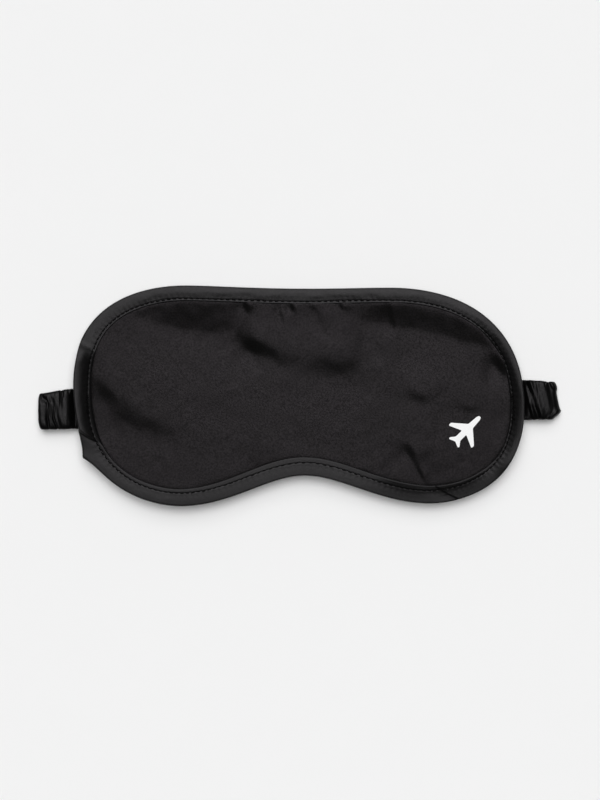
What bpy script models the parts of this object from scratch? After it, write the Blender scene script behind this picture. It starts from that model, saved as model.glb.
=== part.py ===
"""Padded satin sleep mask with a bound edge and a gathered elastic strap, lying face up on its strap.

Units are metres. X runs along the strap, Y up the face and Z out of the front panel. The origin is
under the middle of the mask, on the surface that the strap lies on.
"""

import bisect
import itertools
import math

import bmesh
import bpy
from mathutils import Vector
from mathutils.geometry import interpolate_bezier

# Outline of the mask, right half: x from the centre line, y up from mid height
HALF_WIDTH = 0.1003
MASK_HEIGHT = 0.0970
TOP_DIP = 0.0008
NOSE_RISE = 0.0130
SIDE_Y = -0.0002
SHOULDER_X = 0.0455
LOBE_X = 0.0557

# Bezier handles: how far the outline runs level or upright on each side of those points
TOP_PULL = 0.0200
SHOULDER_PULL_IN = 0.0121
SHOULDER_PULL_OUT = 0.0260
SIDE_PULL_UP = 0.0375
SIDE_PULL_DOWN = 0.0444
LOBE_PULL_OUT = 0.0080
LOBE_PULL_IN = 0.0227
NOSE_PULL = 0.0162

# The cut leans sideways by this much for each unit of height, and its right end is lower than its left
LEAN = 0.072
TAPER = 0.0225

# Gap between neighbouring pieces
CLEARANCE = 0.0003

# Panels, foam and bound edge
CLOTH = 0.00035
FOAM_EDGE = 0.0006
FOAM_GAP = 0.0012
FRONT_CROWN = 0.0017
BACK_CROWN = 0.0011
BINDING_WIDTH = 0.0068
BINDING_BACK_WIDTH = 0.0074
BINDING_WALL = 0.00055

# Thread: one line of topstitching, and a zigzag tack over each strap end
THREAD_RADIUS = 0.0002
STITCH_MARGIN = 0.0013
TACK_LENGTH = 0.0130
TACK_WIDTH = 0.0012
TACK_TURNS = 13

# Strap: a gathered satin tube round a flat elastic
ELASTIC_WIDTH = 0.0120
ELASTIC_THICKNESS = 0.0008
CASING_WALL = 0.0004
CASING_HEM = 0.0008
CASING_EASE = 0.0030
GATHER_PITCH = 0.0042
GATHER_HEIGHT = 0.0004
GATHER_EDGE = 0.0004
GATHER_SLANT = 0.30
FOLD_GAP = 0.0005
STRAP_SHOWS = 0.0154
LOWER_RUN = 0.0050
STRAP_Y = -0.0039
STRAP_RISE = 0.0044

# How the soft mask lies: it sags between the strap folds and droops to its top and bottom edges
SAG = 0.0019
DROOP = 0.0010

# Mesh density
AROUND = 80
SPAN_STEPS = 25
RING_SHRINKS = (0.9, 0.8, 0.62, 0.35)
CROWN_POWER = 6
SPINE_HALF = 0.052
SPINE_Y = 0.003
TUBE_SIDES = 10
BAND_SIDES = 4
BACK_ROWS = 3
SIDE_ROWS = 4
WELD = 1e-7
SMOOTH_ANGLE = math.radians(40)

# Sizes that follow from those above
SHOULDER_Y = MASK_HEIGHT / 2
LOBE_Y = -MASK_HEIGHT / 2
TOP_Y = SHOULDER_Y - TOP_DIP
NOSE_Y = LOBE_Y + NOSE_RISE
STRAP_THICKNESS = ELASTIC_THICKNESS + 2 * (CLEARANCE + CASING_WALL + GATHER_HEIGHT)
STRAP_WIDTH = ELASTIC_WIDTH + 2 * CASING_EASE
LOW_Z = STRAP_THICKNESS / 2
HIGH_Z = LOW_Z + STRAP_THICKNESS + FOLD_GAP
FOLD_RADIUS = (HIGH_Z - LOW_Z) / 2
FOLD_X = HALF_WIDTH + STRAP_SHOWS - STRAP_THICKNESS / 2 - FOLD_RADIUS
SEWN_X = HALF_WIDTH - BINDING_WIDTH
HIGH_RUN = FOLD_X - SEWN_X
FOLD_RUN = math.pi * FOLD_RADIUS
SIDE_LENGTH = HIGH_RUN + FOLD_RUN + LOWER_RUN
SPLIT_X = FOLD_X - LOWER_RUN - CLEARANCE
BACK_LENGTH = 2 * SPLIT_X
STRAP_TILT = math.atan2(STRAP_RISE, 2 * FOLD_X)
PANEL_GAP_HALF = CLEARANCE / 2
SLOT_HALF = PANEL_GAP_HALF + CLOTH + CLEARANCE
BINDING_HALF = SLOT_HALF + BINDING_WALL
SLOT_END = BINDING_WALL + BINDING_HALF - math.sqrt(BINDING_HALF**2 - SLOT_HALF**2)
FOAM_INSET = max(BINDING_WIDTH, BINDING_BACK_WIDTH) + FOAM_GAP
SEWN_DIP = SAG * (1 - (SEWN_X / HALF_WIDTH) ** 2) + DROOP * (STRAP_WIDTH / MASK_HEIGHT) ** 2
SEAM_Z = HIGH_Z + STRAP_THICKNESS / 2 + CLEARANCE + SEWN_DIP + BINDING_HALF

# Finishes: colour and roughness
SATIN = ((0.014, 0.013, 0.014, 1.0), 0.35)
BINDING_SATIN = ((0.020, 0.019, 0.019, 1.0), 0.35)
LINING = ((0.012, 0.012, 0.012, 1.0), 0.45)
FOAM = ((0.05, 0.05, 0.05, 1.0), 0.95)
ELASTIC = ((0.015, 0.015, 0.016, 1.0), 0.8)
THREAD = ((0.008, 0.008, 0.009, 1.0), 0.6)


def clear_scene():
    """Remove whatever the file opened with."""
    for item in list(bpy.data.objects):
        bpy.data.objects.remove(item)


def collection(name):
    """New collection in the scene."""
    made = bpy.data.collections.new(name)
    bpy.context.scene.collection.children.link(made)
    return made


def finish_piece(item, group, finish, parent=None):
    """Put a piece in its collection, under its empty if it has one, with a material of its own."""
    group.objects.link(item)
    item.parent = parent
    material = bpy.data.materials.new(item.name)
    material.use_nodes = True
    shader = material.node_tree.nodes["Principled BSDF"]
    colour, roughness = finish
    shader.inputs["Base Color"].default_value = colour
    shader.inputs["Roughness"].default_value = roughness
    shader.inputs["Metallic"].default_value = 0.0
    item.data.materials.append(material)
    return item


def half_outline():
    """Edge of the right half, from the top centre down to the nose, without its last point."""
    right = Vector((1, 0))
    up = Vector((0, 1))
    top = Vector((0, TOP_Y))
    shoulder = Vector((SHOULDER_X, SHOULDER_Y))
    side = Vector((HALF_WIDTH, SIDE_Y))
    lobe = Vector((LOBE_X, LOBE_Y))
    nose = Vector((0, NOSE_Y))
    spans = (
        (top, top + right * TOP_PULL, shoulder - right * SHOULDER_PULL_IN, shoulder),
        (shoulder, shoulder + right * SHOULDER_PULL_OUT, side + up * SIDE_PULL_UP, side),
        (side, side - up * SIDE_PULL_DOWN, lobe + right * LOBE_PULL_OUT, lobe),
        (lobe, lobe - right * LOBE_PULL_IN, nose + right * NOSE_PULL, nose),
    )
    return [point for span in spans for point in interpolate_bezier(*span, SPAN_STEPS)[:-1]]


def full_outline():
    """Whole edge, clockwise from the top centre."""
    half = half_outline()
    mirrored = [Vector((-point.x, point.y)) for point in reversed(half[1:])]
    return half + [Vector((0, NOSE_Y))] + mirrored


EDGE = full_outline()
STEPS = [(after - point).length for point, after in zip(EDGE, EDGE[1:] + EDGE[:1])]
RUN = list(itertools.accumulate(STEPS, initial=0.0))


def on_edge(turn):
    """Point at a share of the way round the edge."""
    distance = (turn % 1.0) * RUN[-1]
    index = min(bisect.bisect_right(RUN, distance) - 1, len(EDGE) - 1)
    after = EDGE[(index + 1) % len(EDGE)]
    return EDGE[index].lerp(after, (distance - RUN[index]) / STEPS[index])


def inset_point(turn, inset):
    """Point at a share of the way round, moved square to the edge into the mask."""
    step = 0.5 / AROUND
    ahead = (on_edge(turn + step) - on_edge(turn - step)).normalized()
    return on_edge(turn) + Vector((ahead.y, -ahead.x)) * inset


def seam_height(x, y):
    """Height of the plane between the two panels."""
    sag = SAG * (1 - (x / HALF_WIDTH) ** 2)
    droop = DROOP * (2 * (y - STRAP_Y) / MASK_HEIGHT) ** 2
    return SEAM_Z - sag - droop


def laid(point, lift):
    """Place a point of the flat mask as it lies, a distance above the seam plane."""
    tapered = point.y * (1 - TAPER * point.x / HALF_WIDTH)
    return Vector((point.x - LEAN * point.y, tapered, seam_height(point.x, point.y) + lift))


def rolled_sheet(name, around, rows, place, capped):
    """Roll a grid into a tube whose points place(turn, row) gives, and fill the ends that capped names."""
    mesh = bmesh.new()
    bmesh.ops.create_grid(mesh, x_segments=around, y_segments=rows, size=0.5)
    ends = {0: [], rows: []}
    for vert in mesh.verts:
        row = round((vert.co.y + 0.5) * rows)
        if row in ends:
            ends[row].append(vert)
        vert.co = place(vert.co.x + 0.5, row)
    bmesh.ops.remove_doubles(mesh, verts=mesh.verts, dist=WELD)
    for row in (rows * end for end in capped):
        rim = {vert for vert in ends[row] if vert.is_valid}
        edges = [edge for edge in mesh.edges if edge.is_boundary and rim.issuperset(edge.verts)]
        cap = bmesh.ops.contextual_create(mesh, geom=edges)["faces"]
        bmesh.ops.triangulate(mesh, faces=cap)
    bmesh.ops.recalc_face_normals(mesh, faces=mesh.faces)
    data = bpy.data.meshes.new(name)
    mesh.to_mesh(data)
    mesh.free()
    data.shade_smooth()
    data.set_sharp_from_angle(angle=SMOOTH_ANGLE)
    return bpy.data.objects.new(name, data)


def crown(shrink):
    """Share of the full crown at a ring that is shrunk towards the spine."""
    return 1 - shrink**CROWN_POWER


def ring_point(turn, inset, shrink):
    """Point of a ring of the mask: square to the edge by inset, then drawn in to the spine."""
    point = inset_point(turn, inset)
    share = SPINE_HALF / HALF_WIDTH
    return Vector((point.x * (share + (1 - share) * shrink), SPINE_Y + (point.y - SPINE_Y) * shrink))


def layer(name, rings, capped):
    """Layer of the mask through rings, each an inset, a shrink and a height over the seam plane."""

    def place(turn, row):
        inset, shrink, lift = rings[row]
        return laid(ring_point(turn, inset, shrink), lift)

    return rolled_sheet(name, AROUND, len(rings) - 1, place, capped)


def panel(name, face, height, covered):
    """Cloth panel over one face of the foam, flat under the covered width: face is 1 in front and -1 behind."""
    over_foam = FOAM_EDGE / 2 + CLEARANCE
    rings = [(SLOT_END + CLEARANCE, 1, PANEL_GAP_HALF), (covered, 1, PANEL_GAP_HALF)]
    rings += [(FOAM_INSET, 1, over_foam)]
    rings += [(FOAM_INSET, shrink, over_foam + height * crown(shrink)) for shrink in RING_SHRINKS]
    made = layer(name, [(inset, shrink, face * lift) for inset, shrink, lift in rings], capped=(1,))
    if made.data.polygons[0].normal.z * face < 0:
        made.data.flip_normals()
    wall = made.modifiers.new("cloth", "SOLIDIFY")
    wall.thickness = CLOTH
    wall.offset = 1
    return made


def foam_pad(name):
    """Foam filling, thin at its edge and crowned to both faces."""
    rim = FOAM_EDGE / 2
    front = [(FOAM_INSET, shrink, rim + FRONT_CROWN * crown(shrink)) for shrink in (1, *RING_SHRINKS)]
    back = [(FOAM_INSET, shrink, -rim - BACK_CROWN * crown(shrink)) for shrink in (1, *RING_SHRINKS)]
    return layer(name, front[::-1] + back, capped=(0, 1))


def wire(name, points, cyclic, radius):
    """Thread along points, as a curve with a round bevel."""
    data = bpy.data.curves.new(name, "CURVE")
    data.dimensions = "3D"
    data.bevel_depth = radius
    data.bevel_resolution = 0
    data.use_fill_caps = not cyclic
    spline = data.splines.new("POLY")
    spline.points.add(len(points) - 1)
    for knot, point in zip(spline.points, points):
        knot.co = (*point, 1)
    spline.use_cyclic_u = cyclic
    return bpy.data.objects.new(name, data)


def binding_section():
    """Folded strip in section: inwards from the outer edge, and over the seam plane."""
    quarter = math.pi / 4
    fold = [
        (BINDING_HALF - BINDING_HALF * math.cos(quarter * k), BINDING_HALF * math.sin(quarter * k))
        for k in range(-2, 3)
    ]
    front = [(BINDING_WIDTH, BINDING_HALF), (BINDING_WIDTH, SLOT_HALF), (SLOT_END, SLOT_HALF)]
    back = [(SLOT_END, -SLOT_HALF), (BINDING_BACK_WIDTH, -SLOT_HALF), (BINDING_BACK_WIDTH, -BINDING_HALF)]
    return fold + front + back


def edge_binding(name):
    """Bias strip folded over the whole edge: the folded section carried once round the outline."""
    section = binding_section()

    def place(turn, row):
        inset, lift = section[round(turn * len(section)) % len(section)]
        return laid(inset_point(row / AROUND, inset), lift)

    return rolled_sheet(name, len(section), AROUND, place, capped=())


def over_binding(turn, inset):
    """Point of a thread that lies on the front of the binding."""
    return laid(inset_point(turn, inset), BINDING_HALF + CLEARANCE + THREAD_RADIUS)


def topstitch(name):
    """Line of thread along the inner edge of the binding."""
    inset = BINDING_WIDTH - STITCH_MARGIN
    return wire(name, [over_binding(k / AROUND, inset) for k in range(AROUND)], True, THREAD_RADIUS)


def strap_tack(name, hand):
    """Zigzag of thread on the binding over a strap end: hand is 1 on the right and -1 on the left."""
    middle_y = STRAP_Y + hand * STRAP_RISE / 2
    turns = [k / len(EDGE) for k in range(len(EDGE)) if on_edge(k / len(EDGE)).x * hand > 0]
    middle = min(turns, key=lambda turn: abs(on_edge(turn).y - middle_y))
    nearest = BINDING_WIDTH - STITCH_MARGIN - 2 * THREAD_RADIUS - CLEARANCE
    points = []
    for k in range(TACK_TURNS):
        along = (k / (TACK_TURNS - 1) - 0.5) * TACK_LENGTH / RUN[-1]
        points.append(over_binding(middle + along, nearest - (k % 2) * TACK_WIDTH))
    return wire(name, points, False, THREAD_RADIUS)


def side_path(distance):
    """Point and outward normal, in XZ, of a strap end: out from the binding, round the fold, back under."""
    if distance < HIGH_RUN:
        return Vector((SEWN_X + distance, HIGH_Z)), Vector((0, 1))
    angle = (distance - HIGH_RUN) / FOLD_RADIUS
    if angle < math.pi:
        outward = Vector((math.sin(angle), math.cos(angle)))
        return Vector((FOLD_X, LOW_Z + FOLD_RADIUS)) + outward * FOLD_RADIUS, outward
    return Vector((FOLD_X - (distance - HIGH_RUN - FOLD_RUN), LOW_Z)), Vector((0, -1))


def back_path(distance):
    """Point and upward normal, in XZ, of the strap behind the mask."""
    return Vector((distance - SPLIT_X, LOW_Z)), Vector((0, 1))


def ramp(value):
    """Value held between 0 and 1."""
    return min(max(value, 0.0), 1.0)


def signed_root(value):
    """Square root that keeps the sign."""
    return math.copysign(math.sqrt(abs(value)), value)


def swept_strap(name, path, stations, sides, section, hand=1):
    """Strap piece along a path. section(turn, distance) gives across, out and a shift along the path."""

    def place(turn, row):
        across, out, shift = section(turn, stations[row])
        point, normal = path(stations[row] + shift)
        x, z = point + normal * out
        return Vector((hand * x, across, max(z, 0.0)))

    return rolled_sheet(name, sides, len(stations) - 1, place, capped=(0, 1))


def gathered_section(start, end, pitch, hand):
    """Section of the casing: a flattened tube whose slanted gathers fade out at start and end."""
    level = 1 / signed_root(math.sin(math.tau * (TUBE_SIDES // 4) / TUBE_SIDES))
    crest = 0.5 - 0.5 * math.cos(math.tau / BACK_ROWS)
    slant_run = GATHER_SLANT * STRAP_WIDTH

    def section(turn, distance):
        angle = turn * math.tau
        to_end = min(distance - start, end - distance)
        wave = 0.5 - 0.5 * math.cos(math.tau * distance / pitch)
        swell = ramp(to_end / pitch) * min(wave / crest, 1.0)
        across = (STRAP_WIDTH / 2 + GATHER_EDGE * (swell - 1)) * signed_root(math.cos(angle))
        height = STRAP_THICKNESS / 2 + GATHER_HEIGHT * (swell - 1)
        out = height * max(min(level * signed_root(math.sin(angle)), 1.0), -1.0)
        return across, out, -hand * GATHER_SLANT * across * ramp(to_end / slant_run)

    return section


def flat_section(half_width, half_thickness):
    """Section of a flat band with square corners."""

    def section(turn, distance):
        angle = (turn + 0.125) * math.tau
        across = half_width * max(min(2 * math.cos(angle), 1), -1)
        return across, half_thickness * max(min(2 * math.sin(angle), 1), -1), 0.0

    return section


def spread(start, end, count):
    """Evenly spaced distances from start to end."""
    return [start + (end - start) * k / count for k in range(count + 1)]


def bored(casing, cutter, cutters, parent):
    """Cut the bore for the elastic out of a casing."""
    cutter.hide_render = True
    cutter.display_type = "WIRE"
    cutter.parent = parent
    cutters.objects.link(cutter)
    cut = casing.modifiers.new("bore", "BOOLEAN")
    cut.operation = "DIFFERENCE"
    cut.solver = "EXACT"
    cut.object = cutter
    return casing


def elastic_section():
    """Section of the elastic band."""
    return flat_section(ELASTIC_WIDTH / 2, ELASTIC_THICKNESS / 2)


def bore_section():
    """Section of the bore that the elastic runs in."""
    return flat_section(ELASTIC_WIDTH / 2 + CLEARANCE, ELASTIC_THICKNESS / 2 + CLEARANCE)


def strap_end(side, hand, parts, cutters, parent):
    """Casing and elastic of one strap end, from its sewn end to the split under the mask."""
    gathers = round(SIDE_LENGTH / GATHER_PITCH)
    rows = SIDE_ROWS * gathers
    gathered = gathered_section(BINDING_WIDTH / 2, SIDE_LENGTH, SIDE_LENGTH / gathers, hand)
    stations = spread(0, SIDE_LENGTH, rows)
    casing = swept_strap("strap_casing_" + side, side_path, stations, TUBE_SIDES, gathered, hand)
    past_end = spread(CASING_HEM, SIDE_LENGTH + LOWER_RUN / 2, rows)
    cutter = swept_strap("bore_" + side, side_path, past_end, BAND_SIDES, bore_section(), hand)
    inner = spread(CASING_HEM + CLEARANCE, SIDE_LENGTH, rows)
    elastic = swept_strap("strap_elastic_" + side, side_path, inner, BAND_SIDES, elastic_section(), hand)
    finish_piece(bored(casing, cutter, cutters, parent), parts, SATIN, parent)
    finish_piece(elastic, parts, ELASTIC, parent)


def strap_back(parts, cutters, parent):
    """Casing and elastic of the strap behind the mask."""
    gathers = round(BACK_LENGTH / GATHER_PITCH)
    gathered = gathered_section(0, BACK_LENGTH, BACK_LENGTH / gathers, 1)
    stations = spread(0, BACK_LENGTH, BACK_ROWS * gathers)
    casing = swept_strap("strap_casing", back_path, stations, TUBE_SIDES, gathered)
    past_ends = spread(-LOWER_RUN / 2, BACK_LENGTH + LOWER_RUN / 2, 1)
    cutter = swept_strap("bore_back", back_path, past_ends, BAND_SIDES, bore_section())
    elastic = swept_strap("strap_elastic", back_path, spread(0, BACK_LENGTH, 1), BAND_SIDES, elastic_section())
    finish_piece(bored(casing, cutter, cutters, parent), parts, SATIN, parent)
    finish_piece(elastic, parts, ELASTIC, parent)


def strap_line(parts):
    """Empty on the line that the strap lies along, a little tilted across the mask."""
    made = bpy.data.objects.new("strap_line", None)
    made.location = (0, STRAP_Y, 0)
    made.rotation_euler = (0, 0, STRAP_TILT)
    parts.objects.link(made)
    return made


def main():
    clear_scene()
    parts = collection("sleep_mask")
    cutters = collection("sleep_mask_cutters")
    finish_piece(panel("front_panel", 1, FRONT_CROWN, BINDING_WIDTH), parts, SATIN)
    finish_piece(panel("back_panel", -1, BACK_CROWN, BINDING_BACK_WIDTH), parts, LINING)
    finish_piece(foam_pad("foam_pad"), parts, FOAM)
    finish_piece(edge_binding("edge_binding"), parts, BINDING_SATIN)
    finish_piece(topstitch("topstitch_thread"), parts, THREAD)
    line = strap_line(parts)
    for side, hand in (("left", -1), ("right", 1)):
        finish_piece(strap_tack("strap_tack_" + side, hand), parts, THREAD)
        strap_end(side, hand, parts, cutters, line)
    strap_back(parts, cutters, line)


main()
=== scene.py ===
"""Padded satin sleep mask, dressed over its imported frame.

Units are metres. X runs along the strap, Y up the face and Z out of the front panel. Each soft solid of
the frame is replaced by a finished piece: satin panels blown up over a foam core, a folded bias binding
with its stitches, and a gathered strap sleeve round an elastic band.
"""

import logging
import math
from abc import ABC, abstractmethod
from dataclasses import dataclass, field
from enum import Enum
from functools import cached_property
from typing import Any, Sequence

import bmesh
import bpy
import numpy as np
from mathutils import Matrix, Vector
from mathutils.bvhtree import BVHTree
from mathutils.kdtree import KDTree


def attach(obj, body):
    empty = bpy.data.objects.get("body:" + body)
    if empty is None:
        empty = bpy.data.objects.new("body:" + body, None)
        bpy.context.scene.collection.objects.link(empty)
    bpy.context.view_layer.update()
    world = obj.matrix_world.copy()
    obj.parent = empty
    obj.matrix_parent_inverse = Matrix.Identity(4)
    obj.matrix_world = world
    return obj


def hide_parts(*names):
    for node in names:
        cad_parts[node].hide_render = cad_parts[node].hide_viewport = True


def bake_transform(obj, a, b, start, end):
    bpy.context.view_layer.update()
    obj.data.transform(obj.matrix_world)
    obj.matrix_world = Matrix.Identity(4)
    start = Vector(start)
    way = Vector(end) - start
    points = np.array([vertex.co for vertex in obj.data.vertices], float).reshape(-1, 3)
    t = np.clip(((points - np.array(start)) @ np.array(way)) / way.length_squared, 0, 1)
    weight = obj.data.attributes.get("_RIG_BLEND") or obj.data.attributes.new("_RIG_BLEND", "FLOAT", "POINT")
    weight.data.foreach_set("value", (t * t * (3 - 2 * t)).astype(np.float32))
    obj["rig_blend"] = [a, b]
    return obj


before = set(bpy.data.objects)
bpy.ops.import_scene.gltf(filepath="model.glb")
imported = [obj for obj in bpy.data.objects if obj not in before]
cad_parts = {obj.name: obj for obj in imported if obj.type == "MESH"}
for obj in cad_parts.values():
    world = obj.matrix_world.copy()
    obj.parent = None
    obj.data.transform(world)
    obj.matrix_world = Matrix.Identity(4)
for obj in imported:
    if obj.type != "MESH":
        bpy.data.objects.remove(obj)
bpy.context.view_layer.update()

Array = np.ndarray
Colour = tuple[float, float, float, float]
Pair = tuple[float, float]
Pairs = tuple[Pair, ...]
LOG = logging.getLogger("sleep_mask")
RAY_START = 0.1
BLUR_SAMPLES = 9
BEYOND = 3.0


class Body(Enum):
    """Bodies of the frame that a piece can ride on."""

    MASK = "mask"
    STRAP = "strap"


class Face(Enum):
    """Sides of the mask."""

    FRONT = 1.0
    BACK = -1.0


class Hand(Enum):
    """Ends of the strap."""

    LEFT = "left"
    RIGHT = "right"


def smooth_step(value: Array, low: float, high: float) -> Array:
    """Rise smoothly from 0 at the low value to 1 at the high one."""
    share = np.clip((value - low) / (high - low), 0.0, 1.0)
    return share * share * (3.0 - 2.0 * share)


def smooth_fall(value: Array, low: float, high: float) -> Array:
    """Fall smoothly from 1 at the low value to 0 at the high one."""
    return smooth_step(-value, -high, -low)


def hump(value: Array, centre: float, reach: float) -> Array:
    """Bell-shaped hump of height 1 round a centre."""
    return np.exp(-(((value - centre) / reach) ** 2))


@dataclass(frozen=True)
class Unevenness:
    """Smooth irregular relief made of seeded plane waves, about 1 high."""

    seed: int
    wavelength: float
    waves: int = 16
    spread: Pair = (0.7, 1.4)

    @cached_property
    def terms(self) -> Array:
        """Wave numbers along both axes and phases, one row each."""
        draw = np.random.default_rng(self.seed)
        heading = draw.uniform(0.0, math.tau, self.waves)
        number = math.tau / self.wavelength * draw.uniform(*self.spread, self.waves)
        phase = draw.uniform(0.0, math.tau, self.waves)
        return np.stack([number * np.cos(heading), number * np.sin(heading), phase])

    def at(self, x: Array, y: Array) -> Array:
        """Height of the relief at points."""
        angles = x[..., None] * self.terms[0] + y[..., None] * self.terms[1] + self.terms[2]
        return np.sin(angles).sum(axis=-1) / math.sqrt(self.waves / 2)


def add_mesh(name: str, points: Array, faces: Sequence[Sequence[int]]) -> bpy.types.Object:
    """Make a smooth-shaded mesh object at the origin.

    Args:
        name: Name of the piece.
        points: One row for each vertex.
        faces: Vertex numbers of each face.

    Returns:
        The new object.
    """
    data = bpy.data.meshes.new(name)
    data.from_pydata(points.tolist(), [], [[int(number) for number in face] for face in faces])
    data.shade_smooth()
    made = bpy.data.objects.new(name, data)
    bpy.context.scene.collection.objects.link(made)
    return made


def numbered(grid: Array) -> Array:
    """Vertex numbers of a grid of points, in its rows and columns."""
    return np.arange(grid.shape[0] * grid.shape[1]).reshape(grid.shape[:2])


def grid_faces(numbers: Array, wrap_rows: bool = False, wrap_columns: bool = False) -> Array:
    """Quads between the neighbours of a grid of vertex numbers.

    Args:
        numbers: Vertex numbers in rows and columns.
        wrap_rows: Whether the last row joins the first.
        wrap_columns: Whether the last column joins the first.

    Returns:
        One row of four vertex numbers for each quad.
    """
    if wrap_rows:
        numbers = np.vstack([numbers, numbers[:1]])
    if wrap_columns:
        numbers = np.hstack([numbers, numbers[:, :1]])
    corners = (numbers[:-1, :-1], numbers[:-1, 1:], numbers[1:, 1:], numbers[1:, :-1])
    return np.stack([corner.ravel() for corner in corners], axis=1)


def read_points(item: bpy.types.Object) -> Array:
    """Vertex positions of a mesh object, one row each."""
    points = np.empty(len(item.data.vertices) * 3, np.float32)
    item.data.vertices.foreach_get("co", points)
    return points.reshape(-1, 3).astype(float)


def write_points(item: bpy.types.Object, points: Array) -> None:
    """Set the vertex positions of a mesh object."""
    item.data.vertices.foreach_set("co", points.astype(np.float32).ravel())
    item.data.update()


def select_only(item: bpy.types.Object) -> None:
    """Make one object the selected and active one."""
    bpy.ops.object.select_all(action="DESELECT")
    item.select_set(True)
    bpy.context.view_layer.objects.active = item


def apply_modifier(item: bpy.types.Object, kind: str, **settings: Any) -> None:
    """Add a modifier and apply it.

    Args:
        item: Object to change.
        kind: Type of the modifier.
        settings: Properties of the modifier.
    """
    made = item.modifiers.new(kind.lower(), kind)
    for name, value in settings.items():
        setattr(made, name, value)
    select_only(item)
    bpy.ops.object.modifier_apply(modifier=made.name)


def heights_on(item: bpy.types.Object, points: Array, face: Face) -> Array:
    """Heights of a piece over or under points.

    Args:
        item: Piece to measure.
        points: Grid or rows of points, of which X and Y count.
        face: Side from which the piece is touched.

    Returns:
        A height for each point.
    """
    cover = BVHTree.FromObject(item, bpy.context.evaluated_depsgraph_get())
    way = Vector((0.0, 0.0, -face.value))
    starts = [Vector((x, y, 0.0)) - RAY_START * way for x, y in points[..., :2].reshape(-1, 2)]
    return np.array([cover.ray_cast(start, way)[0].z for start in starts]).reshape(points.shape[:-1])


def face_outwards(item: bpy.types.Object) -> None:
    """Turn the faces of a closed mesh outwards."""
    select_only(item)
    bpy.ops.object.mode_set(mode="EDIT")
    bpy.ops.mesh.select_all(action="SELECT")
    bpy.ops.mesh.normals_make_consistent(inside=False)
    bpy.ops.object.mode_set(mode="OBJECT")


class Socket:
    """Output of a shader node, with arithmetic that adds Math nodes to its tree."""

    def __init__(self, tree: "Shading", output: bpy.types.NodeSocket) -> None:
        """Keep the tree and the output."""
        self.tree = tree
        self.output = output

    def math(self, operation: str, other: Any) -> "Socket":
        """Result of an operation with a number or another socket."""
        return self.tree.node("ShaderNodeMath", {"operation": operation}, {0: self, 1: other})

    def __add__(self, other: Any) -> "Socket":
        """Sum."""
        return self.math("ADD", other)

    def __sub__(self, other: Any) -> "Socket":
        """Difference."""
        return self.math("SUBTRACT", other)

    def __mul__(self, other: Any) -> "Socket":
        """Product."""
        return self.math("MULTIPLY", other)


class Shading:
    """Node tree of a material or of the world."""

    def __init__(self, owner: Any) -> None:
        """Start from an empty tree on a material or world."""
        owner.use_nodes = True
        self.tree = owner.node_tree
        self.tree.nodes.clear()

    def node(self, kind: str, settings: dict[str, Any], inputs: dict[Any, Any], output: Any = 0) -> Socket:
        """Add a node.

        Args:
            kind: The node's type.
            settings: Its properties, which are set first.
            inputs: Values or sockets for its inputs, by name or number.
            output: Name or number of the output to return.

        Returns:
            The chosen output.
        """
        made = self.tree.nodes.new(kind)
        for name, value in settings.items():
            setattr(made, name, value)
        for name, value in inputs.items():
            if isinstance(value, Socket):
                self.tree.links.new(value.output, made.inputs[name])
            else:
                made.inputs[name].default_value = value
        return Socket(self, made.outputs[output] if len(made.outputs) else None)

    def coordinates(self, name: str) -> Socket:
        """Texture coordinates: Object, UV or Generated."""
        return self.node("ShaderNodeTexCoord", {}, {}, name)

    def noise(self, vector: Socket, size: float, detail: float = 2.0) -> Socket:
        """Noise round 0.5 in patches of about a size, with octaves of finer noise."""
        inputs = {"Vector": vector, "Scale": 1.0 / size, "Detail": detail}
        return self.node("ShaderNodeTexNoise", {}, inputs, "Fac")

    def waves(self, vector: Socket, pitch: float, heading: float) -> Socket:
        """Ribs across the plane of the first two coordinates.

        Args:
            vector: Coordinates in metres.
            pitch: Distance from rib to rib.
            heading: Angle of the ribs' normal from the first axis.

        Returns:
            Values from -1 to 1.
        """
        way = (math.cos(heading) * math.tau / pitch, math.sin(heading) * math.tau / pitch, 0.0)
        product = {"operation": "DOT_PRODUCT"}
        along = self.node("ShaderNodeVectorMath", product, {0: vector, 1: way}, "Value")
        return self.node("ShaderNodeMath", {"operation": "SINE"}, {0: along})

    def blend(self, share: Socket, low: Colour, high: Colour) -> Socket:
        """Colour between two colours, by a share of the second."""
        return self.node("ShaderNodeMix", {"data_type": "RGBA"}, {0: share, 6: low, 7: high}, 2)

    def principled(self, inputs: dict[str, Any]) -> Socket:
        """Shader with the given inputs."""
        return self.node("ShaderNodeBsdfPrincipled", {}, inputs)

    def bump(self, height: Socket, distance: float, strength: float = 1.0) -> Socket:
        """Normals of a fine relief."""
        inputs = {"Strength": strength, "Distance": distance, "Height": height}
        return self.node("ShaderNodeBump", {}, inputs)


@dataclass(frozen=True)
class Finish(ABC):
    """Look of a piece, between a dark and a light colour."""

    name: str
    dark: Colour
    light: Colour

    @abstractmethod
    def shader(self, shading: Shading) -> Socket:
        """Shader of the finish, built in a tree."""

    def material(self) -> bpy.types.Material:
        """Build the material."""
        made = bpy.data.materials.new(self.name)
        shading = Shading(made)
        shading.node("ShaderNodeOutputMaterial", {}, {"Surface": self.shader(shading)})
        return made


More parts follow.
